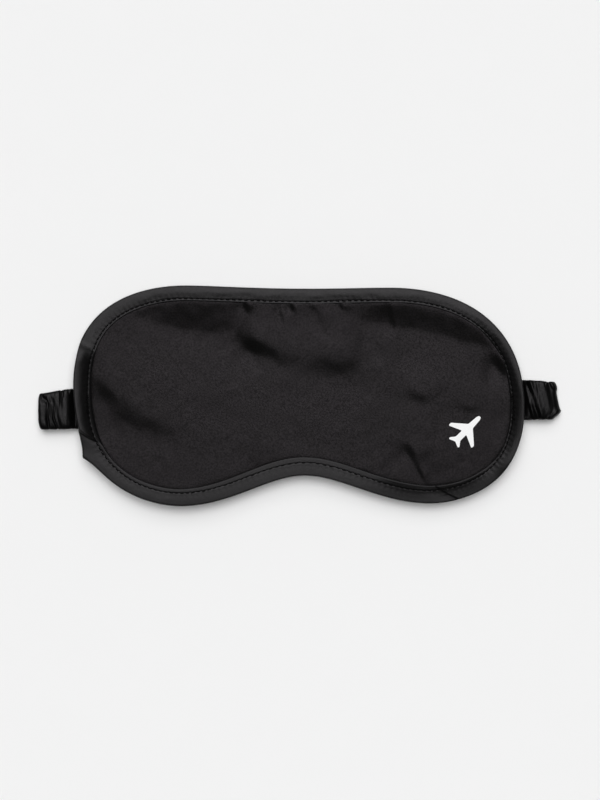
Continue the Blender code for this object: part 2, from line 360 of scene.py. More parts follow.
@dataclass(frozen=True)
class Cloth(Finish):
    """Woven finish: colour that varies in soft patches, ribs of the weave and a broad gloss."""

    roughness: float
    specular: float
    sheen: float
    heading: float
    gloss: Colour = (1.0, 1.0, 1.0, 1.0)
    rib: float = 0.00042
    rib_height: float = 0.0000025
    slub: float = 0.00065
    slub_height: float = 0.00003
    glint: float = 0.40
    patch: float = 0.011
    coordinates: str = "Object"
    weft_pitch: float = 1.6
    weft_height: float = 0.4
    patch_share: float = 0.6
    roughness_spread: float = 0.08
    sheen_roughness: float = 0.45
    speckle: float = 3.0

    def shader(self, shading: Shading) -> Socket:
        """Shader of duller and glossier threads."""
        place = shading.coordinates(self.coordinates)
        patches = shading.noise(place, self.patch, 3.0)
        slubs = shading.noise(place, self.slub, 1.0)
        warp = shading.waves(place, self.rib, self.heading)
        weft = shading.waves(place, self.weft_pitch * self.rib, self.heading + math.pi / 2)
        weave = (warp + weft * self.weft_height) * self.rib_height + slubs * self.slub_height
        colours = patches * self.patch_share + slubs * (1.0 - self.patch_share)
        inputs = {
            "Base Color": shading.blend(colours, self.dark, self.light),
            "Roughness": patches * self.roughness_spread + (self.roughness - self.roughness_spread / 2),
            "Specular Tint": self.gloss,
            "Sheen Weight": self.sheen,
            "Sheen Roughness": self.sheen_roughness,
            "Normal": shading.bump(weave, 1.0),
        }
        threads = []
        for share in (1.0 - self.glint, 1.0 + self.glint):
            inputs["Specular IOR Level"] = self.specular * share
            threads.append(shading.principled(inputs))
        mix = slubs * self.speckle + (1.0 - self.speckle) / 2
        return shading.node("ShaderNodeMixShader", {}, {0: mix, 1: threads[0], 2: threads[1]})


@dataclass(frozen=True)
class Filling(Finish):
    """Open-cell foam: pale pores in a matt ground."""

    pore: float = 0.0006
    pore_depth: float = 0.2
    strength: float = 0.8
    roughness: float = 0.95
    specular: float = 0.2

    def shader(self, shading: Shading) -> Socket:
        """Shader of the foam."""
        cells = {"Vector": shading.coordinates("Object"), "Scale": 1.0 / self.pore}
        pores = shading.node("ShaderNodeTexVoronoi", {}, cells, "Distance")
        return shading.principled({
            "Base Color": shading.blend(pores, self.dark, self.light),
            "Roughness": self.roughness,
            "Specular IOR Level": self.specular,
            "Normal": shading.bump(pores, self.pore_depth * self.pore, self.strength),
        })


@dataclass(frozen=True)
class Ink(Finish):
    """Screen-printed ink that lets the weave show faintly."""

    rib: float = 0.00042
    rib_share: float = 0.3
    depth: float = 0.00003
    strength: float = 0.3
    roughness: float = 0.5
    roughness_spread: float = 0.15
    specular: float = 0.3

    def shader(self, shading: Shading) -> Socket:
        """Shader of the ink."""
        place = shading.coordinates("Object")
        grain = shading.noise(place, 2.0 * self.rib)
        ribs = shading.waves(place, self.rib, 0.0)
        return shading.principled({
            "Base Color": shading.blend(grain, self.dark, self.light),
            "Roughness": grain * self.roughness_spread + self.roughness,
            "Specular IOR Level": self.specular,
            "Normal": shading.bump(grain + ribs * self.rib_share, self.depth, self.strength),
        })


@dataclass(frozen=True)
class Paper(Finish):
    """Matt paper of the floor."""

    grain: float = 0.02
    roughness: float = 0.9

    def shader(self, shading: Shading) -> Socket:
        """Shader of the paper."""
        grain = shading.noise(shading.coordinates("Object"), self.grain)
        return shading.principled({
            "Base Color": shading.blend(grain, self.dark, self.light),
            "Roughness": self.roughness,
            "Specular IOR Level": 0.0,
        })


def grey(level: float, tint: float = 0.0) -> Colour:
    """Grey of a linear level, warmer or cooler by a tint."""
    return (level * (1.0 + tint), level, level * (1.0 - tint), 1.0)


WARM = (1.0, 0.90, 0.97, 1.0)
COOL = (1.0, 0.97, 1.0, 1.0)
PANEL_SATIN = Cloth("panel_satin", grey(0.0024), grey(0.0050, 0.03), 0.30, 0.0610, 0.02, 0.0, WARM)
BINDING_SATIN = Cloth(
    "binding_satin", grey(0.0010), grey(0.0020, 0.02), 0.36, 0.147, 0.02, math.pi / 4, COOL, glint=0.1
)
STRAP_SATIN = Cloth(
    "strap_satin", grey(0.0006), grey(0.0020), 0.34, 0.110, 0.01, 0.0, COOL, glint=0.2, coordinates="UV"
)
LINING = Cloth(
    "lining", grey(0.0070), grey(0.0120), 0.62, 0.30, 0.10, 0.0, rib=0.0005, rib_height=0.0000075
)
THREAD = Cloth("thread", grey(0.0008), grey(0.0024), 0.55, 0.045, 0.0, 0.6, rib=0.00025, patch=0.003)
ELASTIC = Cloth(
    "elastic", grey(0.010), grey(0.019), 0.7, 0.25, 0.08, 0.0, WARM, rib=0.0011, rib_height=0.00005,
    slub=0.0024, slub_height=0.00016, glint=0.1, patch=0.006, coordinates="UV",
)
FOAM = Filling("foam", grey(0.020), grey(0.060))
PRINT_INK = Ink("print_ink", grey(0.84), grey(0.92))
FLOOR_PAPER = Paper("floor_paper", grey(0.884), grey(0.892))


def dress(
    item: bpy.types.Object, finish: Finish, replaced: Sequence[str] = ()
) -> bpy.types.Object:
    """Give a piece its finish and hide the nodes of the frame that it replaces.

    Args:
        item: The piece.
        finish: Its look.
        replaced: Nodes of the frame that the piece replaces.

    Returns:
        The piece.
    """
    item.data.materials.clear()
    item.data.materials.append(finish.material())
    if replaced:
        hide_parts(*replaced)
    LOG.info("%s: %d faces", item.name, len(item.data.polygons))
    return item


@dataclass(frozen=True)
class Mark:
    """Place on the soft mask with a reach across and a stretch along its heading."""

    centre: Pair
    reach: float
    stretch: float
    heading: float
    height: float

    def local(self, x: Array, y: Array) -> tuple[Array, Array]:
        """Points as seen from the mark.

        Args:
            x: First coordinates.
            y: Second coordinates.

        Returns:
            Places along and across the mark, 1 at its reach.
        """
        dx = x - self.centre[0]
        dy = y - self.centre[1]
        cos, sin = math.cos(self.heading), math.sin(self.heading)
        return (dx * cos + dy * sin) / (self.reach * self.stretch), (dy * cos - dx * sin) / self.reach


class Mound(Mark):
    """Soft swelling, or a hollow where its height is negative."""

    def relief(self, x: Array, y: Array) -> Array:
        """Heights at points."""
        along, across = self.local(x, y)
        return self.height * np.exp(-(along**2) - across**2)


class Buckle(Mark):
    """Wave of the cloth that climbs across its middle, from a hollow to a swelling."""

    steepness = 1.5
    spread = 2.2

    def relief(self, x: Array, y: Array) -> Array:
        """Heights at points."""
        along, across = self.local(x, y)
        wave = np.tanh(self.steepness * across)
        return self.height * wave * np.exp(-(along**2) - (across / self.spread) ** 2)


@dataclass(frozen=True)
class MaskCut:
    """Outline of the mask laid flat, clockwise from the top centre, and how the soft mask then lies."""

    half_width: float = 0.1003
    side_y: float = -0.0002
    top_y: float = 0.0477
    shoulder_x: float = 0.0455
    shoulder_y: float = 0.0485
    lobe_x: float = 0.0557
    lobe_y: float = -0.0485
    nose_y: float = -0.0355
    top_pull: float = 0.0200
    shoulder_pull_in: float = 0.0121
    shoulder_pull_out: float = 0.0260
    side_pull_up: float = 0.0375
    side_pull_down: float = 0.0444
    lobe_pull_out: float = 0.0080
    lobe_pull_in: float = 0.0227
    nose_pull: float = 0.0162
    lean: float = 0.072
    taper: float = 0.0225
    corner_turn: float = 0.7025
    corner_out: float = 0.0034
    corner_reach: float = 0.0043
    corner_depth: float = 0.0062
    corner_power: float = 1.5
    seam_z: float = 0.00843
    sag: float = 0.0019
    droop: float = 0.0002
    strap_y: float = -0.0039
    curls: tuple[Mound, ...] = (
        Mound((-0.0440, 0.0455), 0.0125, 2.0, 0.02, 0.0012),
        Mound((0.0465, 0.0450), 0.0120, 1.8, -0.06, 0.0011),
        Mound((0.0762, 0.0348), 0.0120, 1.2, -0.60, 0.0010),
        Mound((0.0000, -0.0360), 0.0300, 1.6, 0.00, 0.0014),
        Mound((-0.0560, -0.0450), 0.0180, 1.4, 0.00, 0.0007),
    )
    span_steps: int = 400

    @cached_property
    def edge(self) -> Array:
        """Points along the whole edge, close together."""
        top = np.array((0.0, self.top_y))
        shoulder = np.array((self.shoulder_x, self.shoulder_y))
        side = np.array((self.half_width, self.side_y))
        lobe = np.array((self.lobe_x, self.lobe_y))
        nose = np.array((0.0, self.nose_y))
        right = np.array((1.0, 0.0))
        up = np.array((0.0, 1.0))
        spans = (
            (top, top + right * self.top_pull, shoulder - right * self.shoulder_pull_in, shoulder),
            (shoulder, shoulder + right * self.shoulder_pull_out, side + up * self.side_pull_up, side),
            (side, side - up * self.side_pull_down, lobe + right * self.lobe_pull_out, lobe),
            (lobe, lobe - right * self.lobe_pull_in, nose + right * self.nose_pull, nose),
        )
        share = np.linspace(0.0, 1.0, self.span_steps, endpoint=False)[:, None]
        rest = 1.0 - share
        half = np.concatenate([
            rest**3 * a + 3 * rest**2 * share * b + 3 * rest * share**2 * c + share**3 * d
            for a, b, c, d in spans
        ])
        return np.concatenate([half, nose[None], half[:0:-1] * (-1.0, 1.0)])

    @cached_property
    def run(self) -> Array:
        """Distance along the edge to each point, and the whole length last."""
        steps = np.linalg.norm(np.roll(self.edge, -1, axis=0) - self.edge, axis=1)
        return np.concatenate([[0.0], np.cumsum(steps)])

    @property
    def length(self) -> float:
        """Length of the whole edge."""
        return float(self.run[-1])

    def on_edge(self, turns: Array) -> Array:
        """Points at shares of the way round the edge."""
        distance = np.mod(turns, 1.0) * self.length
        closed = np.vstack([self.edge, self.edge[:1]])
        return np.stack([np.interp(distance, self.run, closed[:, axis]) for axis in (0, 1)], axis=-1)

    def inwards(self, turns: Array, step: float = 0.004) -> Array:
        """Directions square to the edge, into the mask."""
        ahead = self.on_edge(turns + step) - self.on_edge(turns - step)
        ahead /= np.linalg.norm(ahead, axis=-1, keepdims=True)
        return np.stack([ahead[..., 1], -ahead[..., 0]], axis=-1)

    def inset(self, turns: Array, insets: Array) -> Array:
        """Points moved square to the edge into the mask, with the pulled-out corner.

        Args:
            turns: Shares of the way round.
            insets: Distances from the edge.

        Returns:
            Flat points.
        """
        from_corner = np.abs((turns - self.corner_turn + 0.5) % 1.0 - 0.5) * self.length
        fade = np.clip(1.0 - insets / self.corner_depth, 0.0, 1.0) ** self.corner_power
        pulled = self.corner_out * np.exp(-from_corner / self.corner_reach) * fade
        return self.on_edge(turns) + self.inwards(turns) * (insets - pulled)[..., None]

    def seam_height(self, x: Array, y: Array) -> Array:
        """Height of the plane between the two panels."""
        sag = self.sag * (1.0 - (x / self.half_width) ** 2)
        droop = self.droop * (2.0 * (y - self.strap_y) / (self.shoulder_y - self.lobe_y)) ** 2
        return self.seam_z - sag - droop + sum(curl.relief(x, y) for curl in self.curls)

    def laid(self, flat: Array, lifts: Array) -> Array:
        """Place flat points as the mask lies.

        Args:
            flat: Flat points.
            lifts: Heights over the seam plane.

        Returns:
            Points in space.
        """
        x = flat[..., 0]
        y = flat[..., 1]
        height = self.seam_height(x, y) + lifts
        return np.stack([x - self.lean * y, y * (1.0 - self.taper * x / self.half_width), height], axis=-1)

    def from_edge(self, flat: Array) -> tuple[Array, Array]:
        """Nearest place on the edge.

        Args:
            flat: Flat points, one row each.

        Returns:
            Distances from the edge and shares of the way round.
        """
        tree = KDTree(len(self.edge))
        for number, point in enumerate(self.edge):
            tree.insert((*point, 0.0), number)
        tree.balance()
        found = [tree.find((*point, 0.0)) for point in flat]
        distances = np.array([hit[2] for hit in found])
        turns = np.array([self.run[hit[1]] for hit in found]) / self.length
        return distances, turns


CUT = MaskCut()


def round_trip(keys: Pairs, turns: Array, blur: float = 0.02) -> Array:
    """Value between keys set round the mask, softened over a share of the way.

    Args:
        keys: Shares of the way round and the values there.
        turns: Shares of the way round to read.
        blur: Share over which values are averaged.

    Returns:
        Values at the turns.
    """
    table = np.array(keys)
    places = np.concatenate([table[-1:, 0] - 1.0, table[:, 0], table[:1, 0] + 1.0])
    values = np.concatenate([table[-1:, 1], table[:, 1], table[:1, 1]])
    shifts = np.linspace(-blur, blur, BLUR_SAMPLES)
    return np.mean([np.interp(np.mod(turns + shift, 1.0), places, values) for shift in shifts], axis=0)


@dataclass(frozen=True)
class Lap:
    """Slanted line across the binding where one layer of the strip ends on another."""

    turn: float
    slant: float
    step: float
    reach: float
    pivot: float = 0.0056
    edge: Pair = (-0.0002, 0.0003)
    tail: float = 0.0004

    def past(self, turns: Array, insets: Array) -> Array:
        """Distances past the line, along the edge and negative before it."""
        return (turns - self.turn) * CUT.length - self.slant * (self.pivot - insets)

    def lift(self, past: Array) -> Array:
        """Height of the upper layer, which fades out away from the line."""
        return self.step * smooth_step(past, *self.edge) * smooth_fall(past, self.tail, self.reach)


@dataclass(frozen=True)
class EdgeBinding:
    """Bias strip folded over the edge of the mask and sewn through."""

    seams: Pairs = (
        (0.000, 0.0058), (0.130, 0.0057), (0.200, 0.0056), (0.300, 0.0056), (0.360, 0.0058),
        (0.620, 0.0058), (0.690, 0.0057), (0.720, 0.0057), (0.750, 0.0069), (0.790, 0.0069),
        (0.830, 0.0059),
    )
    widths: Pairs = (
        (0.000, 0.0070), (0.130, 0.0069), (0.200, 0.0067), (0.300, 0.0067), (0.360, 0.0077),
        (0.400, 0.0084), (0.500, 0.0085), (0.600, 0.0077), (0.690, 0.0076), (0.720, 0.0077),
        (0.750, 0.0084), (0.790, 0.0082), (0.830, 0.0071), (0.900, 0.0069),
    )
    dishes: Pairs = (
        (0.000, 0.0000), (0.150, 0.0000), (0.185, 0.0006), (0.215, 0.0009), (0.240, 0.0014),
        (0.275, 0.0014), (0.290, 0.0012), (0.305, 0.0009), (0.320, 0.0003), (0.335, -0.0003),
        (0.350, -0.0006), (0.368, -0.0006), (0.390, -0.0004), (0.415, -0.0005), (0.432, -0.0003),
        (0.445, 0.0000),
    )
    dish_from: float = 0.0006
    dish_powers: Pairs = (
        (0.000, 1.7), (0.220, 1.7), (0.245, 1.2), (0.314, 1.2), (0.326, 2.0), (0.360, 1.8), (0.385, 2.4),
        (0.420, 2.0), (0.450, 1.5), (0.900, 1.5),
    )
    left_dish: float = 0.0017
    left_start: Pair = (-0.0003, 0.0006)
    left_end: float = 0.7930
    left_fade: float = 0.0100
    dish_blur: float = 0.010
    power_blur: float = 0.008
    draw_in: float = 0.28
    lip_fall: float = 0.38
    lip_climb: float = 0.16
    lip_fall_from: float = 0.0008
    lip_climb_from: float = 0.0004
    back_extra: float = 0.0006
    roll: float = 0.0005
    rise: float = 0.0014
    puff: float = 0.00026
    puff_spread: float = 0.10
    groove: float = 0.00011
    groove_half: float = 0.00034
    groove_between: float = 0.35
    groove_beat: float = 0.75
    tuck: float = 0.00009
    tuck_from_seam: float = 0.0012
    tuck_half: float = 0.0010
    seam_wander: float = 0.00010
    seam_wave: float = 0.035
    puff_wave: float = 0.011
    lip_drop: float = 0.00018
    lip_round: float = 0.0004
    wall: float = 0.00045
    slot_shares: tuple[float, ...] = (1.0, 0.8, 0.4)
    slot_lifts: tuple[float, ...] = (0.00075, 0.00062, 0.00080)
    before_seam: float = 0.0008
    after_seam: float = 0.0007
    roll_columns: int = 9
    part_columns: tuple[int, ...] = (9, 11, 5)
    shear_reach: float = 0.010
    stitch_pitch: float = 0.0027
    join: Lap = Lap(0.3788, -1.24, -0.00026, 0.0130)
    corner: Lap = Lap(0.7105, 1.31, 0.00030, 0.0090)
    rows: int = 960
    seed: int = 11

    def width(self, turns: Array) -> Array:
        """Width of the strip on the front at shares of the way round."""
        return round_trip(self.widths, turns)

    def seam(self, turns: Array) -> Array:
        """Distance of the stitches from the outer edge at shares of the way round."""
        return round_trip(self.seams, turns)

    def turned_up(self, turns: Array, past_corner: Array) -> Array:
        """Share by which the outer edge is turned up, between the left corner's fold and the left end."""
        start = smooth_step(past_corner, *self.left_start)
        return start * smooth_step(self.left_end - turns, -self.left_fade, self.left_fade)

    @property
    def stitches(self) -> int:
        """Number of stitches round the mask."""
        return round(CUT.length / self.stitch_pitch)

    def skin(self, turns: Array, insets: Array, face: Face) -> Array:
        """Points on the outside of the strip.

        Args:
            turns: Shares of the way round.
            insets: Distances from the outer edge.
            face: Front or back.

        Returns:
            Points in space.
        """
        front = face is Face.FRONT
        width = self.width(turns) + (0.0 if front else self.back_extra)
        along = turns * CUT.length
        wander = Unevenness(self.seed, self.seam_wave).at(along, 0.0 * along)
        seam = self.seam(turns) + self.seam_wander * wander
        beat = 0.5 + 0.5 * np.cos(math.tau * turns * self.stitches)
        past_corner = self.corner.past(turns, insets)
        dish = round_trip(self.dishes, turns, self.dish_blur)
        dish = dish + self.left_dish * self.turned_up(turns, past_corner)
        share = np.clip((insets - self.dish_from) / (seam - self.dish_from), 0.0, 1.0)
        plateau = self.rise
        if front:
            power = round_trip(self.dish_powers, turns, self.power_blur)
            past_seam = np.maximum(insets, seam)
            falls = self.lip_fall * smooth_step(dish, 0.0, self.lip_fall_from)
            climbs = self.lip_climb * smooth_step(-dish, 0.0, self.lip_climb_from)
            plateau = plateau + dish * (1.0 - share**power)
            plateau = plateau + falls * (width - past_seam) + climbs * (past_seam - seam)
        rolled = np.sqrt(np.clip(1.0 - (1.0 - np.minimum(insets, self.roll) / self.roll) ** 2, 0.0, 1.0))
        upper = 0.5 + 0.5 * np.cos(math.tau * turns)
        swell = self.puff * upper * np.sin(math.pi * np.clip(insets / seam, 0.0, 1.0))
        relief = Unevenness(self.seed + 1, self.puff_wave).at(along, 3.0 * insets)
        swell = swell * (1.0 + self.puff_spread * relief)
        pressed = self.groove_between + self.groove_beat * beat
        groove = self.groove * pressed * hump(insets, seam, self.groove_half)
        tucks = self.tuck * beat * hump(insets, seam - self.tuck_from_seam, self.tuck_half)
        lip = self.lip_drop * smooth_step(insets, width - self.lip_round, width)
        lift = plateau * rolled + swell - groove - tucks - lip
        if front:
            past_join = self.join.past(turns, insets)
            lift = lift + (self.join.lift(past_join) + self.corner.lift(-past_corner)) * rolled
        drawn = self.draw_in * np.maximum(dish, 0.0) * (1.0 - share)
        return CUT.laid(CUT.inset(turns, insets + drawn), face.value * lift)

    def section(self, turns: Array) -> Array:
        """Distances from the outer edge at the strip's columns, from the fold to the inner edge.

        Args:
            turns: Shares of the way round, one for each row.

        Returns:
            One row of insets for each turn.
        """
        seam = self.seam(turns)
        start = np.full_like(turns, self.roll)
        stops = (start, seam - self.before_seam, seam + self.after_seam, self.width(turns))
        rounding = self.roll * (1.0 - np.cos(np.linspace(0.0, math.pi / 2, self.roll_columns)))
        parts = [np.repeat(rounding[None], len(turns), axis=0)]
        for count, low, high in zip(self.part_columns, stops, stops[1:]):
            shares = np.linspace(0.0, 1.0, count + 1)[1:]
            parts.append(low[:, None] + shares * (high - low)[:, None])
        return np.hstack(parts)

    def build(self) -> bpy.types.Object:
        """Model the strip as one closed band with its slot."""
        turns = np.arange(self.rows) / self.rows
        front = self.section(turns)
        back = front.copy()
        last = self.part_columns[-1]
        back[:, -last:] += np.linspace(1.0 / last, 1.0, last) * self.back_extra
        shear = np.zeros(self.rows)
        for lap in (self.join, self.corner):
            shear += lap.slant * hump((turns - lap.turn) * CUT.length, 0.0, self.shear_reach) / CUT.length
        outside = []
        for insets, face in ((front, Face.FRONT), (back, Face.BACK)):
            sheared = turns[:, None] + shear[:, None] * (self.corner.pivot - insets)
            outside.append(self.skin(sheared, insets, face))
        columns = [outside[0][:, ::-1], outside[1][:, 1:]]
        for face, width, order in ((Face.BACK, back[:, -1], 1), (Face.FRONT, front[:, -1], -1)):
            insets = np.maximum(np.array(self.slot_shares[::order]) * width[:, None], 2.0 * self.wall)
            lift = face.value * np.array(self.slot_lifts[::order])
            flat = CUT.inset(np.repeat(turns[:, None], len(lift), axis=1), insets)
            columns.append(CUT.laid(flat, np.repeat(lift[None], self.rows, axis=0)))
        points = np.concatenate(columns, axis=1)
        made = add_mesh("binding_strip", points.reshape(-1, 3), grid_faces(numbered(points), True, True))
        face_outwards(made)
        return made


BINDING = EdgeBinding()

# Waves of the front panel: upper middle, left side, right side, then the puckers under the top edge
BUCKLES = (
    Buckle((-0.0203, 0.0224), 0.0054, 1.15, -0.45, 0.00124),
    Buckle((-0.0098, 0.0174), 0.0064, 1.8, -0.46, 0.00081),
    Buckle((0.0112, 0.0134), 0.0095, 1.1, -0.30, 0.00065),
    Buckle((0.0222, 0.0138), 0.0090, 1.1, 0.28, 0.00068),
    Buckle((-0.0805, -0.0035), 0.0086, 1.6, -0.75, 0.00082),
    Buckle((-0.0868, 0.0022), 0.0050, 1.3, -0.75, 0.00055),
    Buckle((-0.0655, -0.0138), 0.0066, 1.6, -0.42, 0.00056),
    Buckle((0.0526, -0.0006), 0.0040, 1.5, -0.40, 0.00042),
    Buckle((0.0753, -0.0059), 0.0026, 1.8, -0.10, 0.00022),
    Buckle((0.0362, 0.0212), 0.0045, 1.3, -0.90, 0.00040),
    Buckle((0.0888, 0.0152), 0.0040, 1.4, -0.80, 0.00075),
    Buckle((0.0908, 0.0112), 0.0032, 1.8, -1.15, 0.00062),
    Buckle((0.0497, -0.0248), 0.0032, 1.5, -1.13, 0.00060),
    Buckle((0.0540, -0.0339), 0.0013, 4.2, -1.13, 0.00032),
    Buckle((-0.0235, 0.0402), 0.0022, 1.6, -1.20, 0.00070),
    Buckle((-0.0077, 0.0368), 0.0016, 2.8, -1.35, 0.00038),
    Buckle((-0.0030, 0.0393), 0.0020, 1.5, -1.25, 0.00060),
    Buckle((0.0062, 0.0390), 0.0022, 1.3, -0.60, 0.00025),
    Buckle((0.0098, 0.0345), 0.0028, 1.4, -1.20, 0.00026),
    Buckle((0.0188, 0.0400), 0.0016, 1.6, -1.40, 0.00036),
    Buckle((0.0412, 0.0350), 0.0022, 2.8, -1.35, 0.00034),
)


@dataclass
class PaddedMask:
    """Front panel, foam and lining: a closed pillow blown up by a cloth simulation, then parted."""

    hem: float = 0.0024
    columns: int = 132
    rows: int = 66
    corners: Pair = (0.165, 0.335)
    cloth: float = 0.00035
    hem_lift: float = 0.00045
    front_crown: float = 0.0008
    back_crown: float = 0.0015
    climb: float = 0.0008
    tuck: float = 0.0018
    bands: Pairs = (
        (0.000, 0.0015), (0.042, 0.0015), (0.055, 0.0075), (0.094, 0.0112), (0.131, 0.0112),
        (0.163, 0.0098), (0.188, 0.0045), (0.202, 0.0), (0.848, 0.0), (0.867, 0.0062), (0.896, 0.0122),
        (0.938, 0.0142), (0.954, 0.0120), (0.963, 0.0015),
    )
    band_slope: float = 0.115
    band_fade: float = 0.030
    band_blur: float = 0.008
    band_soft_blur: float = 0.045
    band_soft_reach: float = 0.012
    left_press: float = 0.0003
    left_press_reach: float = 0.008
    foam_inset: float = 0.0095
    foam_gap: float = 0.00025
    pressure: float = 4.0
    frames: int = 20
    most_move: float = 0.00020
    hem_ease: float = 0.030
    hem_over: float = 0.0004
    front_seed: int = 21
    back_seed: int = 31
    ripples: Pairs = ((0.021, 0.00007), (0.008, 0.000022))
    cut_share: float = 0.87
    flat: Array = field(init=False)
    front: Array = field(init=False)
    back: Array = field(init=False)
    panel: bpy.types.Object = field(init=False)

    def side(self, start: float, end: float, count: int, inset: float) -> Array:
        """Points along a side of an inset outline.

        Args:
            start: Share of the way round where the side starts.
            end: Share where it ends.
            count: Number of steps.
            inset: Distance from the edge.

        Returns:
            Flat points.
        """
        turns = np.linspace(start, end, count + 1)
        return CUT.on_edge(turns) + CUT.inwards(turns) * inset

    def grid(self, inset: float) -> Array:
        """Spread a grid between the four sides of an inset outline.

        Args:
            inset: Distance of the grid's border from the edge.

        Returns:
            Flat points in rows from the bottom and columns from the left.
        """
        high, low = self.corners
        top = self.side(-high, high, self.columns, inset)[None]
        bottom = self.side(1.0 - low, low, self.columns, inset)[None]
        left = self.side(1.0 - low, 1.0 - high, self.rows, inset)[:, None]
        right = self.side(low, high, self.rows, inset)[:, None]
        u = np.linspace(0.0, 1.0, self.columns + 1)[None, :, None]
        v = np.linspace(0.0, 1.0, self.rows + 1)[:, None, None]
        corners = (
            (1 - u) * (1 - v) * bottom[0, 0]
            + u * (1 - v) * bottom[0, -1]
            + (1 - u) * v * top[0, 0]
            + u * v * top[0, -1]
        )
        return (1 - v) * bottom + v * top + (1 - u) * left + u * right - corners

    def crown(self, flat: Array, height: float, face: Face) -> Array:
        """Height of a face over the seam plane before it is blown up.

        Args:
            flat: Flat points in rows and columns.
            height: Height of the middle over the hem.
            face: Front, which also has the bands that climb to the top edge, or back.

        Returns:
            Heights.
        """
        distance, turns = CUT.from_edge(flat.reshape(-1, 2))
        inside = np.maximum(distance - BINDING.width(turns), -self.tuck)
        lift = self.hem_lift + height * (1.0 - np.exp(-(inside + self.tuck) / self.climb))
        if face is Face.FRONT:
            band = round_trip(self.bands, turns, self.band_blur)
            softened = round_trip(self.bands, turns, self.band_soft_blur) - band
            past = inside - band
            depth = np.clip(np.minimum(inside, band), 0.0, None)
            depth = depth + softened * smooth_step(past, 0.0, self.band_soft_reach)
            lift -= self.band_slope * depth * smooth_fall(past, 0.0, self.band_fade)
            turned_up = BINDING.turned_up(turns, (turns - BINDING.corner.turn) * CUT.length)
            lift -= self.left_press * turned_up * np.exp(-inside / self.left_press_reach)
        return lift.reshape(flat.shape[:2])

    def pillow(self) -> tuple[bpy.types.Object, Array, Array]:
        """Close the front and back grids into one pillow.

        Returns:
            The pillow, and the vertex numbers of its front and back grids.
        """
        self.flat = self.grid(self.hem)
        self.front = CUT.laid(self.flat, self.crown(self.flat, self.front_crown, Face.FRONT))
        self.back = CUT.laid(self.flat, -self.crown(self.flat, self.back_crown, Face.BACK))
        front = numbered(self.front)
        back = front.copy()
        back[1:-1, 1:-1] = front.size + numbered(back[1:-1, 1:-1])
        points = np.concatenate([self.front.reshape(-1, 3), self.back[1:-1, 1:-1].reshape(-1, 3)])
        points[front[[0, -1]], 2] -= self.hem_lift
        points[front[:, [0, -1]], 2] -= self.hem_lift
        made = add_mesh("pillow", points, np.concatenate([grid_faces(front), grid_faces(back)[:, ::-1]]))
        return made, front, back

    def blow_up(self, pillow: bpy.types.Object) -> Array:
        """Blow the pillow up inside its sewn hem.

        Args:
            pillow: The closed pillow.

        Returns:
            Its points afterwards, with long moves held back.
        """
        start = read_points(pillow)
        flat = np.concatenate([self.flat.reshape(-1, 2), self.flat[1:-1, 1:-1].reshape(-1, 2)])
        distance, turns = CUT.from_edge(flat)
        sewn = np.flatnonzero(distance < BINDING.width(turns) - self.hem_over)
        group = pillow.vertex_groups.new(name="hem")
        group.add(sewn.tolist(), 1.0, "REPLACE")
        cloth = pillow.modifiers.new("padding", "CLOTH")
        settings = {
            "quality": 5,
            "mass": 0.02,
            "tension_stiffness": 20.0,
            "compression_stiffness": 20.0,
            "shear_stiffness": 8.0,
            "bending_stiffness": 0.4,
            "vertex_group_mass": group.name,
            "use_pressure": True,
            "uniform_pressure_force": self.pressure,
        }
        for name, value in settings.items():
            setattr(cloth.settings, name, value)
        cloth.settings.effector_weights.gravity = 0.0
        cloth.collision_settings.use_collision = False
        cloth.point_cache.frame_start = 1
        cloth.point_cache.frame_end = self.frames
        scene = bpy.context.scene
        for number in range(1, self.frames + 1):
            scene.frame_set(number)
        select_only(pillow)
        bpy.ops.object.modifier_apply(modifier=cloth.name)
        scene.frame_set(1)
        move = read_points(pillow) - start
        reach = np.linalg.norm(move, axis=1, keepdims=True)
        LOG.info("padding moved by up to %.2f mm", 1000.0 * reach.max())
        held = self.most_move * np.tanh(reach / self.most_move) / np.maximum(reach, 1e-9)
        ease = smooth_step(distance - BINDING.width(turns), 0.0, self.hem_ease)
        return start + move * held * ease[:, None]

    def shape(self) -> None:
        """Find the final surfaces of both faces."""
        pillow, front, back = self.pillow()
        points = self.blow_up(pillow)
        border = np.zeros(front.shape, bool)
        border[[0, -1]] = True
        border[:, [0, -1]] = True
        lift = np.where(border, 0.5 * self.hem_lift, 0.0)
        self.front = points[front]
        self.back = points[back]
        self.front[..., 2] += lift
        self.back[..., 2] -= lift
        bpy.data.objects.remove(pillow)

    def sheet(self, name: str, points: Array, face: Face) -> bpy.types.Object:
        """Model one panel as a thin cloth with unevenness and, in front, its puckers.

        Args:
            name: Name of the piece.
            points: Grid of points on its outside.
            face: Front or back.

        Returns:
            The panel.
        """
        faces = grid_faces(numbered(points))
        made = add_mesh(name, points.reshape(-1, 3), faces if face is Face.FRONT else faces[:, ::-1])
        apply_modifier(made, "SUBSURF", levels=1, render_levels=1)
        fine = read_points(made)
        x = fine[:, 0]
        y = fine[:, 1]
        seed = self.front_seed if face is Face.FRONT else self.back_seed
        relief = np.zeros(len(fine))
        for number, (wavelength, height) in enumerate(self.ripples):
            relief += height * Unevenness(seed + number, wavelength).at(x, y)
        if face is Face.FRONT:
            relief = relief + sum(buckle.relief(x, y) for buckle in BUCKLES)
        fine[:, 2] += face.value * relief
        write_points(made, fine)
        apply_modifier(made, "SOLIDIFY", thickness=self.cloth, offset=-1.0)
        return made

